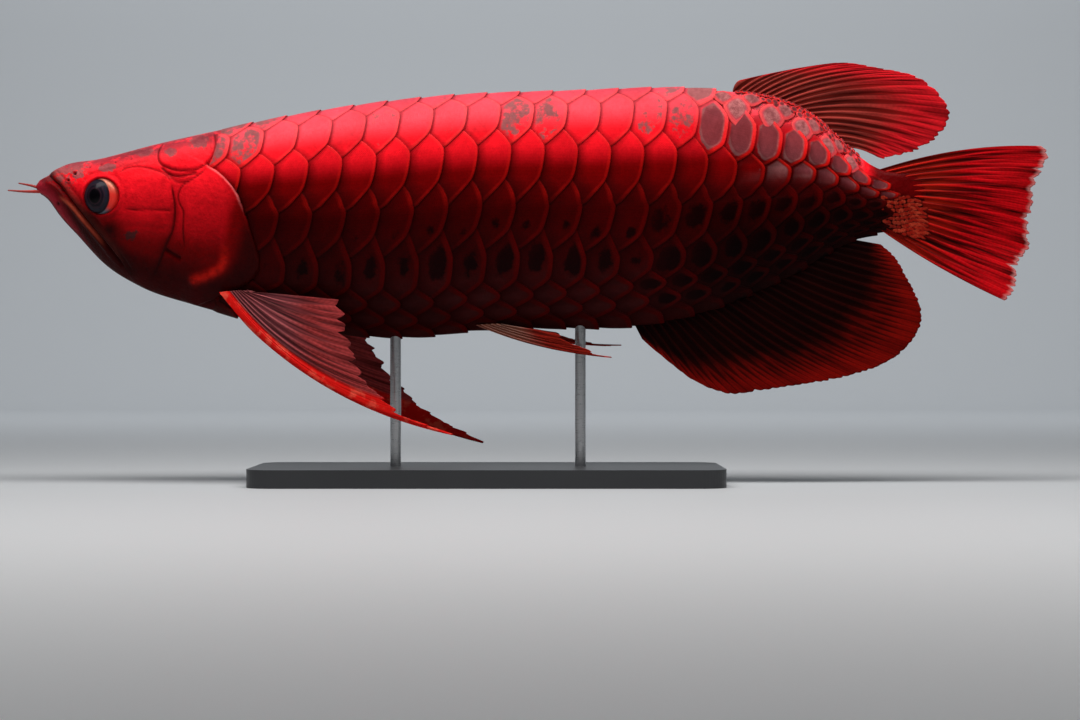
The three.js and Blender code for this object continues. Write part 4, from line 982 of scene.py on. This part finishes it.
def finSurface(plan):
    # grid (across r, along s): each line a bent path from root to tip; half thickness is the membrane's
    # plus a round ridge on every ray and branch; the edge is nicked between the rays
    across, along = plan["grid"]
    r = np.linspace(0, 1, across)[:, None]
    s = np.linspace(0, 1, along)[None, :] ** 0.92
    rays = plan["rays"]
    phase = r * (rays - 1)
    near = np.round(phase)
    off = phase - near
    fork1 = 0.25 * ease(s, plan["fork"][0], plan["fork"][0] + 0.35)
    fork2 = 0.11 * ease(s, plan["fork"][1], plan["fork"][1] + 0.22)
    first = np.abs(np.abs(off) - fork1)
    distance = np.abs(first - fork2)
    edgeOff = np.minimum(first, 0.25) / 0.25
    root, tip = rounded(plan["root"], across), rounded(plan["tip"], 4 * across)
    spread = r[:, 0] ** plan.get("sweep", 1.0) * (4 * across - 1)
    tip = np.stack([np.interp(spread, np.arange(4 * across), tip[:, n]) for n in range(3)], -1)
    if callable(plan.get("line")):
        rootX = np.linspace(*plan["span"], across)
        root = np.stack([rootX, 0 * rootX, plan["line"](rootX)], -1)
    jag = np.interp(phase[:, 0] * 4, np.arange(4 * rays + 2), rng.normal(0, 1, 4 * rays + 2))
    long = np.linalg.norm(tip - root, axis=1)
    cut = (plan["nick"] * ((1 - plan["lobe"]) * np.abs(off[:, 0]) * 2 + plan["lobe"] * edgeOff[:, -1] ** 1.5)
           + plan["fray"] * np.maximum(jag, -0.4))
    reach = 1 - np.clip(cut, -0.8, None) / np.maximum(long, 4 * plan["nick"])
    bow = plan["bow"](r[:, 0])
    middle = (root + tip) / 2 + bow
    t = (s * reach[:, None])[..., None]
    path = (1 - t) ** 2 * root[:, None] + 2 * t * (1 - t) * middle[:, None] + t**2 * tip[:, None]
    if plan.get("wave"):
        path = path + plan["wave"](r, t[..., 0])
    # roots start under the skin
    start = path[:, 1] - path[:, 0]
    start = start / np.maximum(np.linalg.norm(start, axis=1, keepdims=True), 1e-6)
    sink = (1 - np.clip(s[0] / 0.04, 0, 1))[None, :, None] * plan["sink"]
    path = path - start[:, None] * sink
    du = np.gradient(path, axis=0)
    dv = np.gradient(path, axis=1)
    normal = np.cross(du, dv)
    normal /= np.maximum(np.linalg.norm(normal, axis=-1, keepdims=True), 1e-9)
    wide = plan["rayWide"] * (1 + 0.5 * s)
    ridge = np.exp(-(distance / (wide * (1 - 0.45 * ease(s, plan["fork"][0], 1)))) ** 2)
    # the leading ray of a paired fin is one broad stiff band
    lead = plan.get("lead", 0.0)
    leader = lead * (1 - ease(r, 0.21, 0.30)) + 0 * s
    ridge = np.maximum(ridge, leader * (1 - 0.2 * bump(r - 0.19, 0.025)))
    joints = 0.95 + 0.05 * np.cos(2 * np.pi * s * long[:, None] / plan["joint"] + near * 1.7)
    jointed = 1 - (1 - joints) * ease(s, 0.25, 0.5)
    thick = (plan["rootThick"] + (plan["edgeThick"] - plan["rootThick"]) * s) * (1 + 0.35 * leader)
    half = thick * (plan["web"] + (1 - plan["web"]) * ridge * jointed) / 2
    top = path + normal * half[..., None]
    under = path - normal * half[..., None]
    return top, under, {"across": r + 0 * s, "along": s + 0 * r, "ridge": ridge,
                        "joint": ridge * (1 - jointed), "lead": lead * (1 - ease(r, 0.28, 0.40)) + 0 * s}


def buildFin(name, plan, material):
    top, under, grids = finSurface(plan)
    points = np.concatenate([top.reshape(-1, 3), under.reshape(-1, 3)])
    faces, = outwardFaces(points, plateFaces(*top.shape[:2]))
    values = {key: np.tile(grid.ravel(), 2) for key, grid in grids.items()}
    half = np.stack([grids["across"] * 0.98 + 0.01, grids["along"] * 0.47 + 0.01], -1).reshape(-1, 2)
    bake = np.concatenate([half, half + [0, 0.5]])
    makePiece(name + "_skin", points, [faces], material, [name], bake, values)
    print(name, 2 * len(faces), "triangles")


# the pale blotch on a paired fin's leading ray is a painted highlight; the scales' blotch is their own black
# heart
finMarks = {"joint": (0.05, 0.004, 0.004), "speck": (0.02, 0.003, 0.003), "blotchAndHighlight": (0.82, 0.15, 0.09)}

# membrane and rays each fade from the base's colour to the edge's; joints darken the rays
finTint, (along, across, ridge, joint, folds, turn, place, baseWeb, edgeWeb, baseRay, edgeRay) = newGroup(
    "finTint", {"along": 0.0, "across": 0.0, "ridge": 0.0, "joint": 0.0, "folds": 0.4, "turn": 0.5,
                "place": "vector", "baseWeb": "colour", "edgeWeb": "colour", "baseRay": "colour",
                "edgeRay": "colour"}, {"tint": "colour", "height": "value"})
fadeAt = along + (place.noise(38.0, 4.0, 0.6) - 0.5) * 0.45
fading = fadeAt.ramp(turn - 0.22, turn + 0.22)
ray = mix(joint * 2.5, mix(fading, baseRay, edgeRay), finMarks["joint"])
tint = mix(ridge.ramp(0.25, 0.75), mix(fading, baseWeb, edgeWeb), ray)
speck = place.noise(420.0, 4.0, 0.65)
tint = mix(speck.ramp(0.62, 0.8, 0.0, 0.35), tint, finMarks["speck"])
# painted shade and light of folds: darker and lighter streaks that follow the rays
streakPlace = Wire(put(finTint, "ShaderNodeCombineXYZ", {}, {0: across * 26.0, 1: along * 1.3}).outputs[0])
streak = streakPlace.noise(1.0, 3.0, 0.6).ramp(0.30, 0.66)
tint = mix(1.0, tint, (1.25 - folds * (1.35 - streak)).grey(), "MULTIPLY")
endGroup(finTint, tint=tint, height=speck + ridge)


def finMaterial(name, tints, turn, folds, leadTint=None, edgeTint=None):
    look = Look(name, Roughness=0.5, Coat_Weight=0.01, Coat_Roughness=0.25, Specular_IOR_Level=0.02)
    along, across, ridge, joint = look.value("along", "across", "ridge", "joint")
    tint, height = look.use(finTint, along=along, across=across, ridge=ridge, joint=joint, place=look.place,
                            turn=turn, folds=folds, **dict(zip(finZones, tints)))
    if leadTint:
        # painted highlight: pale patches on the leading ray
        leadHighlights = look.place.noise(170.0, 4.0).ramp(0.5, 0.66, 0.0, 0.4)
        tint = mix(look.value("lead").ramp(0.2, 0.8), tint, mix(leadHighlights, leadTint, finMarks["blotchAndHighlight"]))
    if edgeTint:
        tint = mix(along.ramp(0.955, 0.995, 0.0, 0.6), tint, edgeTint)
    look.feed("Base Color", tint)
    look.relief(height, 0.2, 0.0004)
    return look.material


def flat(points):
    return [(x, 0.0, z) for x, z in points]


def bowOf(x0, z0, x1, z1):
    # bend of the rays' middles: a steady part and one that swells to the fin's middle
    return lambda r: np.stack([x0 + x1 * np.sin(np.pi * r), 0 * r, z0 + z1 * np.sin(np.pi * r)], -1)


def fallingBow(x, z):
    # bend that fades towards the fin's rear edge
    return lambda r: np.stack([x * (1 - r), 0 * r, z * (1 - r)], -1)


def sideWave(r, t):
    # the tail fin's lower half swings to the left and ripples
    swing = -7.0 * t**2 * ease(r, 0.35, 1.0) + 1.6 * t * np.sin(9 * r + 2.2 * t)
    return np.stack([0 * swing, swing, 0 * swing], -1)


finPlans = {
    "dorsal_fin": {
        "line": backZ, "span": (383, 449), "root": flat([(383, 69), (449, 38)]),
        "tip": flat([(389, 75.5), (401.5, 78.3), (427.2, 83.1), (445.6, 85), (463.4, 82.2), (486.3, 76.9),
                     (499.1, 66.9), (504.2, 55.2), (496.9, 42.9), (480.7, 34), (466, 31)]),
        "rays": 19, "grid": (316, 64), "fork": (0.55, 0.82), "sweep": 0.65, "bow": bowOf(-2, 3, -6, 5),
        "nick": 1.6, "lobe": 0.6, "fray": 0.6, "sink": 3.0, "rayWide": 0.22, "joint": 2.1, "rootThick": 2.0,
        "edgeThick": 0.7, "web": 0.55},
    "anal_fin": {
        "line": bellyZ, "span": (328.5, 451), "root": flat([(328.5, -62), (451, -14)]),
        "tip": flat([(333, -70.3), (348.6, -83.1), (359.7, -91.5), (371.4, -97.3), (382.6, -99.9),
                     (411, -96.1), (445.3, -90.4), (472.6, -80.2), (486.9, -64.3), (488, -51.8),
                     (480.7, -35.7), (473.5, -23.5), (466, -16.5)]),
        "rays": 29, "grid": (392, 60), "fork": (0.45, 0.72), "sweep": 0.7, "bow": bowOf(0, 0, -3, -4),
        "nick": 1.1, "lobe": 0.65, "fray": 0.35, "sink": 3.0, "rayWide": 0.16, "joint": 2.1, "rootThick": 2.0,
        "edgeThick": 0.7, "web": 0.7},
    "caudal_fin": {
        "root": flat([(470, 27), (478, 19), (482, 8.5), (479, -2.5), (469, -10.8)]),
        "tip": flat([(557.7, 38.4), (559.9, 34.5), (556.5, 27), (553.2, 20.4), (550.6, 12.2), (550.1, 4),
                     (547.9, -3), (548.4, -12), (547.5, -20), (542, -25.5), (540.2, -33.6), (538.7, -41.4),
                     (533.7, -48.3)]),
        "rays": 17, "grid": (340, 84), "fork": (0.34, 0.62),
        "bow": lambda r: np.stack([0 * r, 0 * r, 8 * (1 - 1.4 * r)], -1), "nick": 2.0, "lobe": 0.6, "fray": 1.1,
        "sink": 6.0, "rayWide": 0.2, "joint": 2.6, "rootThick": 2.4, "edgeThick": 0.65, "web": 0.5,
        "wave": sideWave},
    "pectoral_fin_left": {
        "root": [(101, -15.5, -46), (109, -17.5, -45), (118, -19.5, -43.5)],
        "tip": [(228.3, -50, -121), (216, -49, -116.4), (201.8, -46, -111), (191.7, -43, -101.4),
                (179.5, -40, -89.2), (173.7, -35, -72.9), (169.5, -31, -58.6), (166.5, -29, -48)],
        "bow": fallingBow(-12, -21)},
    "pectoral_fin_right": {
        "root": [(101, 15.5, -46), (109, 17.5, -45), (118, 19.5, -43.5)],
        "tip": [(245.6, 50, -129.5), (226, 49, -119.1), (206.5, 46, -107), (199.8, 43, -99.3),
                (189.8, 40, -89.9), (184, 35, -78), (176, 31, -66), (166, 29, -52)],
        "bow": fallingBow(-12, -21)},
    "pelvic_fin_left": {
        "root": [(243, -6, -62.5), (250, -7.5, -62), (257, -9, -61.5)],
        "tip": [(316.5, -14, -79.6), (307.4, -14, -78.1), (301.7, -14, -74.7), (291.2, -13.5, -71.1),
                (287, -14, -66.5)], "bow": fallingBow(-4, -5)},
    "pelvic_fin_right": {
        "root": [(243, 6, -62.5), (250, 7.5, -62), (257, 9, -61.5)],
        "tip": [(323.1, 14, -72.5), (313, 14, -72.8), (303, 14, -70.7), (292, 13.5, -68.5), (286, 14, -65.5)],
        "bow": fallingBow(-4, -5)},
}
pairShared = {
    "pectoral": {"rays": 12, "grid": (232, 90), "fork": (0.5, 0.75), "nick": 4.2, "lobe": 0.1, "fray": 1.7,
                 "sink": 3.0, "rayWide": 0.2, "joint": 3.2, "rootThick": 3.0, "edgeThick": 0.8, "web": 0.6,
                 "lead": 1.0, "sweep": 0.85},
    "pelvic": {"rays": 6, "grid": (110, 60), "fork": (0.5, 0.8), "nick": 3.2, "lobe": 0.3, "fray": 1.2,
               "sink": 3.0, "rayWide": 0.2, "joint": 2.4, "rootThick": 2.2, "edgeThick": 0.7, "web": 0.32,
               "lead": 0.3}}
finZones = ("baseWeb", "edgeWeb", "baseRay", "edgeRay")  # membrane and rays at the base and at the edge
finTones = {
    "dorsal": ((0.120, 0.008, 0.005), (0.26, 0.004, 0.005), (0.38, 0.046, 0.034), (0.80, 0.012, 0.020)),
    # the anal fin's tones are darkened by painted shade, most of all at the base
    "anal": ((0.006, 0.0003, 0.0002), (0.055, 0.0015, 0.0006), (0.014, 0.0008, 0.0004), (0.20, 0.003, 0.0012)),
    "caudal": ((0.26, 0.007, 0.002), (0.14, 0.0006, 0.0010), (0.58, 0.012, 0.005), (0.64, 0.003, 0.007)),
    "pectoral": ((0.19, 0.040, 0.048), (0.18, 0.028, 0.030), (0.40, 0.095, 0.100), (0.40, 0.045, 0.045)),
    "pelvic": ((0.22, 0.070, 0.042), (0.16, 0.010, 0.006), (0.36, 0.17, 0.13), (0.34, 0.016, 0.008))}
finLooks = {
    "dorsal": finMaterial("dorsalWeb", finTones["dorsal"], 0.62, 0.75),
    "anal": finMaterial("analWeb", finTones["anal"], 0.72, 0.55),
    "caudal": finMaterial("tailWeb", finTones["caudal"], 0.35, 0.9, edgeTint=(0.62, 0.22, 0.21)),
    "pectoral": finMaterial("breastWeb", finTones["pectoral"], 0.5, 0.8, leadTint=(0.62, 0.008, 0.006)),
    "pelvic": finMaterial("hipWeb", finTones["pelvic"], 0.4, 0.5, leadTint=(0.40, 0.015, 0.010))}
for name, plan in finPlans.items():
    kind = name.split("_")[0]
    buildFin(name, {**pairShared.get(kind, {}), **plan}, finLooks[kind])


# ---- eyes: a dark globe that looks out of a gold-edged ring

eyePlan = {"radius": 10.4, "deep": 6.4, "proud": 2.5, "grid": (72, 96), "dark": (8.1, 9.5), "darkShift": -1.9,
           "seat": 10.2}  # the globe faces as the head does over this length to either side
seatY = flankY(orbit["x"] + np.array([-eyePlan["seat"], 0, eyePlan["seat"]]), np.full(3, orbit["z"]))
eyeTurn = math.atan2(seatY[2] - seatY[0], 2 * eyePlan["seat"])


def buildEye(name, side, material):
    # flattened ball about the outward axis; the clear front bulges, the pupil's edge dips a little
    plan = eyePlan
    polar = np.linspace(0.012, np.pi - 0.012, plan["grid"][0])[:, None]
    angle = np.linspace(0, 2 * np.pi, plan["grid"][1], endpoint=False)[None, :]
    lateral = plan["radius"] * np.sin(polar) * np.cos(angle)
    upright = plan["radius"] * np.sin(polar) * np.sin(angle)
    out = plan["deep"] * np.cos(polar) + 0 * angle
    dark = np.hypot((lateral - plan["darkShift"]) / plan["dark"][0], upright / plan["dark"][1])
    front = polar < np.pi / 2
    out = out + np.where(front, 0.9 * (1 - ease(dark, 0.15, 1.0)) - 0.25 * bump(dark - 1.02, 0.05), 0)
    x = lateral * math.cos(eyeTurn) - out * math.sin(eyeTurn)
    y = lateral * math.sin(eyeTurn) + out * math.cos(eyeTurn) + seatY[1] + plan["proud"] - plan["deep"]
    points = np.stack([orbit["x"] + x, side * y, orbit["z"] + upright], -1)
    flatPoints = np.concatenate([points.reshape(-1, 3), [points[0].mean(0), points[-1].mean(0)]])
    values = {"dark": np.append(dark.ravel(), [abs(plan["darkShift"]) / plan["dark"][0], 3.0]),
              "upright": np.append(upright.ravel() / plan["radius"], [0, 0]),
              "lateral": np.append(lateral.ravel() / plan["radius"], [0, 0])}
    faceSets = tubeFaces(flatPoints, *plan["grid"])
    makePiece(name + "_globe", flatPoints, faceSets, material, [name], None, values)


eyeTones = {"dark": (0.008, 0.005, 0.010), "band": (0.028, 0.010, 0.017), "grey": (0.020, 0.020, 0.032),
            "edge": (0.010, 0.006, 0.010), "pupil": (0.0015, 0.001, 0.002), "rear": (0.80, 0.036, 0.026),
            "gold": (0.52, 0.17, 0.11), "below": (0.10, 0.12, 0.15)}


def eyeMaterial():
    look = Look("wetEye", Roughness=0.3, Coat_Weight=0.08, Coat_Roughness=0.03, Specular_IOR_Level=0.05)
    dark, upright, lateral = look.value("dark", "upright", "lateral")
    streak = look.place.noise(700.0, 4.0, 0.7)
    # dark ring with finer rings in it, and the pupil
    wave = (dark * 26.0 + streak * 5.0).sine()
    ring = mix(wave.ramp(-0.6, 0.9), eyeTones["dark"], eyeTones["band"])
    ring = mix(dark.ramp(0.55, 0.86, 0.0, 0.7), ring, eyeTones["grey"])
    ring = mix(dark.ramp(0.80, 0.97), ring, eyeTones["edge"])
    ring = mix(dark.ramp(0.50, 0.36), ring, eyeTones["pupil"])
    # pale ring round it: gold above, red behind, grey below
    pale = mix((upright + streak * 0.4).ramp(0.2, 0.9), eyeTones["rear"], eyeTones["gold"])
    pale = mix((upright + lateral * 0.6).ramp(-0.2, -0.7), pale, eyeTones["below"])
    look.feed("Base Color", mix(dark.ramp(0.97, 1.04), ring, pale))
    look.feed("Metallic", dark.ramp(0.99, 1.05) * 0.15)
    return look.material


eyeLook = eyeMaterial()
buildEye("eye_left", -1, eyeLook)
buildEye("eye_right", 1, eyeLook)


# ---- barbels: two tapered feelers from the tip of the lower jaw

barbelPlan = {"radii": (1.45, 0.38), "around": 20, "steps": 60}
barbelTones = {"root": (0.50, 0.02, 0.016), "tip": (0.30, 0.025, 0.016), "speck": (0.12, 0.01, 0.008)}
barbelPaths = {
    "barbel_left": [(5.2, -1.8, 12.6), (0.5, -2.3, 13.0), (-5, -2.6, 12.9), (-12, -3.2, 12.9),
                    (-20.6, -3.6, 13.5)],
    "barbel_right": [(5.2, 1.8, 13.2), (0.5, 2.3, 14.0), (-4, 2.7, 15.2), (-9, 3.3, 16.6), (-16.2, 4, 18)]}


def buildBarbel(name, path, material):
    # a ring of points carried along a smooth path, its radius tapering to a rounded point
    radii, around, steps = barbelPlan.values()
    line = rounded(path, steps)
    run = np.gradient(line, axis=0)
    run /= np.linalg.norm(run, axis=1, keepdims=True)
    sideways = np.cross(run, [0, 0, 1.0])
    sideways /= np.linalg.norm(sideways, axis=1, keepdims=True)
    upward = np.cross(sideways, run)
    t = np.linspace(0, 1, steps)
    radius = (radii[0] + (radii[1] - radii[0]) * t**0.8) * np.sqrt(np.clip((1.004 - t) / 0.02, 0, 1))
    radius = radius * (1 + 0.04 * np.sin(60 * t))
    turn = np.linspace(0, 2 * np.pi, around, endpoint=False)
    points = line[:, None] + radius[:, None, None] * (np.cos(turn)[None, :, None] * sideways[:, None]
                                                      + np.sin(turn)[None, :, None] * upward[:, None])
    flatPoints = np.concatenate([points.reshape(-1, 3), [line[0], line[-1]]])
    values = {"along": np.append(np.repeat(t, around), [0, 1])}
    faceSets = tubeFaces(flatPoints, steps, around)
    makePiece(name + "_strand", flatPoints, faceSets, material, [name], None, values)


def barbelMaterial():
    look = Look("barbelSkin", Roughness=0.42, Coat_Weight=0.1, Coat_Roughness=0.2, Specular_IOR_Level=0.3)
    tone = mix(look.value("along"), barbelTones["root"], barbelTones["tip"])
    specks = look.place.noise(500.0, 4.0).ramp(0.5, 0.7, 0.0, 0.4)
    look.feed("Base Color", mix(specks, tone, barbelTones["speck"]))
    return look.material


barbelLook = barbelMaterial()
for name, path in barbelPaths.items():
    buildBarbel(name, path, barbelLook)
print("eyes and barbels")


# ---- stand


standTones = {"slab": ((0.018, 0.019, 0.021), (0.034, 0.035, 0.038)),
              "steel": ((0.50, 0.51, 0.52), (0.66, 0.66, 0.67))}


def slabMaterial():
    look = Look("satinSlab", Coat_Weight=0.15, Coat_Roughness=0.3)
    look.feed("Base Color", mix(look.place.noise(14.0, 3.0), *standTones["slab"]))
    grain = look.place.noise(1400.0, 2.0)
    look.feed("Roughness", grain * 0.12 + 0.38)
    look.relief(grain, 0.08, 0.0003)
    return look.material


def steelMaterial():
    look = Look("brushedSteel", Metallic=1.0)
    drawn = put(look.tree, "ShaderNodeMapping", {}, {"Vector": look.place, "Scale": (1.0, 1.0, 14.0)})
    brush = Wire(drawn.outputs[0]).noise(160.0, 3.0, 0.7)
    look.feed("Base Color", mix(brush, *standTones["steel"]))
    look.feed("Roughness", brush * 0.2 + 0.2)
    return look.material


slabLook, steelLook = slabMaterial(), steelMaterial()
for node, look in (("stand_base", slabLook), ("stand_rod_front", steelLook), ("stand_rod_rear", steelLook)):
    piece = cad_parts[node]
    piece.data.materials.clear()
    piece.data.materials.append(look)
print("stand")


# ---- floor, light and camera

stagePlan = {"front": 3.4, "back": 2.7, "wall": 2.0, "bend": 0.6, "half": 4.0, "near": (0.90, 0.91, 0.92),
             "far": (0.52, 0.535, 0.55)}


def buildStage():
    # floor that bends up behind into a plain wall, a profile carried sideways
    plan = stagePlan
    turn = np.linspace(0, np.pi / 2, 24)
    bendStart = plan["back"] - plan["bend"]
    y = np.concatenate([[-plan["front"], 0, bendStart - 0.02], bendStart + plan["bend"] * np.sin(turn),
                        [plan["back"]]])
    z = np.concatenate([[0, 0, 0], plan["bend"] * (1 - np.cos(turn)), [plan["wall"]]])
    x = np.array([-plan["half"], 0, plan["half"]])
    points = np.stack(np.broadcast_arrays(x[None, :], y[:, None], z[:, None]), -1).reshape(-1, 3)
    mesh = bpy.data.meshes.new("floor")
    mesh.from_pydata(points.tolist(), [], gridFaces(len(y), len(x)).tolist())
    mesh.shade_smooth()
    look = Look("paleFloor", Roughness=0.6)
    # painted light: the floor's colour is paler near the camera, where the lamps reach it less, and greyer far
    # back and on the wall
    depthAway = Wire(put(look.tree, "ShaderNodeSeparateXYZ", {}, {"Vector": look.place}).outputs["Y"])
    look.feed("Base Color", mix(depthAway.ramp(-0.10, -0.85), plan["far"], plan["near"]))
    mesh.materials.append(look.material)
    floor = bpy.data.objects.new("floor", mesh)
    bpy.context.scene.collection.objects.link(floor)


lampPlans = {
    "topKey": {"place": (0.0, -0.25, 0.72), "target": (0, 0, 0.16), "size": (1.25, 0.28), "power": 8.6,
               "colour": (1.0, 0.985, 0.97), "mirrored": True},
    "frontFill": {"place": (-0.2, -1.9, 0.9), "target": (0, 0, 0.12), "size": (1.6, 1.0), "power": 1.6,
                  "colour": (1.0, 0.98, 0.96), "mirrored": False},
    "backSweep": {"place": (0.0, 1.25, 1.6), "target": (0, 2.6, 0.35), "size": (3.4, 0.6), "power": 34.0,
                  "colour": (0.94, 0.97, 1.0), "mirrored": False}}
skyPlan = {"colour": (0.72, 0.78, 0.85, 1.0), "strength": 0.07}
cameraPlan = {"place": (0.0005, -1.422, 0.0691), "lens": 85.0, "sensor": 36.0, "near": 0.05}


def addLamp(name, plan):
    # soft rectangle turned to its target; one that isn't mirrored leaves no highlight
    data = bpy.data.lights.new(name, "AREA")
    data.shape = "RECTANGLE"
    data.size, data.size_y = plan["size"]
    data.energy = plan["power"]
    data.color = plan["colour"]
    lamp = bpy.data.objects.new(name, data)
    lamp.location = plan["place"]
    x, y, z = np.subtract(plan["target"], plan["place"])
    lamp.rotation_euler = (math.atan2(math.hypot(x, y), -z), 0, math.atan2(-x, y))
    lamp.visible_glossy = plan["mirrored"]
    bpy.context.scene.collection.objects.link(lamp)


buildStage()
for name, plan in lampPlans.items():
    addLamp(name, plan)
world = bpy.data.worlds.new("studio")
bpy.context.scene.world = world
world.use_nodes = True
sky = world.node_tree.nodes["Background"]
sky.inputs[0].default_value = skyPlan["colour"]
sky.inputs[1].default_value = skyPlan["strength"]

cameraData = bpy.data.cameras.new("view")
cameraData.lens = cameraPlan["lens"]
cameraData.sensor_width = cameraPlan["sensor"]
cameraData.clip_start = cameraPlan["near"]
camera = bpy.data.objects.new("view", cameraData)
camera.location = cameraPlan["place"]
camera.rotation_euler = (math.pi / 2, 0, 0)
bpy.context.scene.collection.objects.link(camera)
bpy.context.scene.camera = camera
bpy.context.scene.view_settings.view_transform = "Standard"
bpy.context.scene.view_settings.look = "None"
print("floor, light and camera")
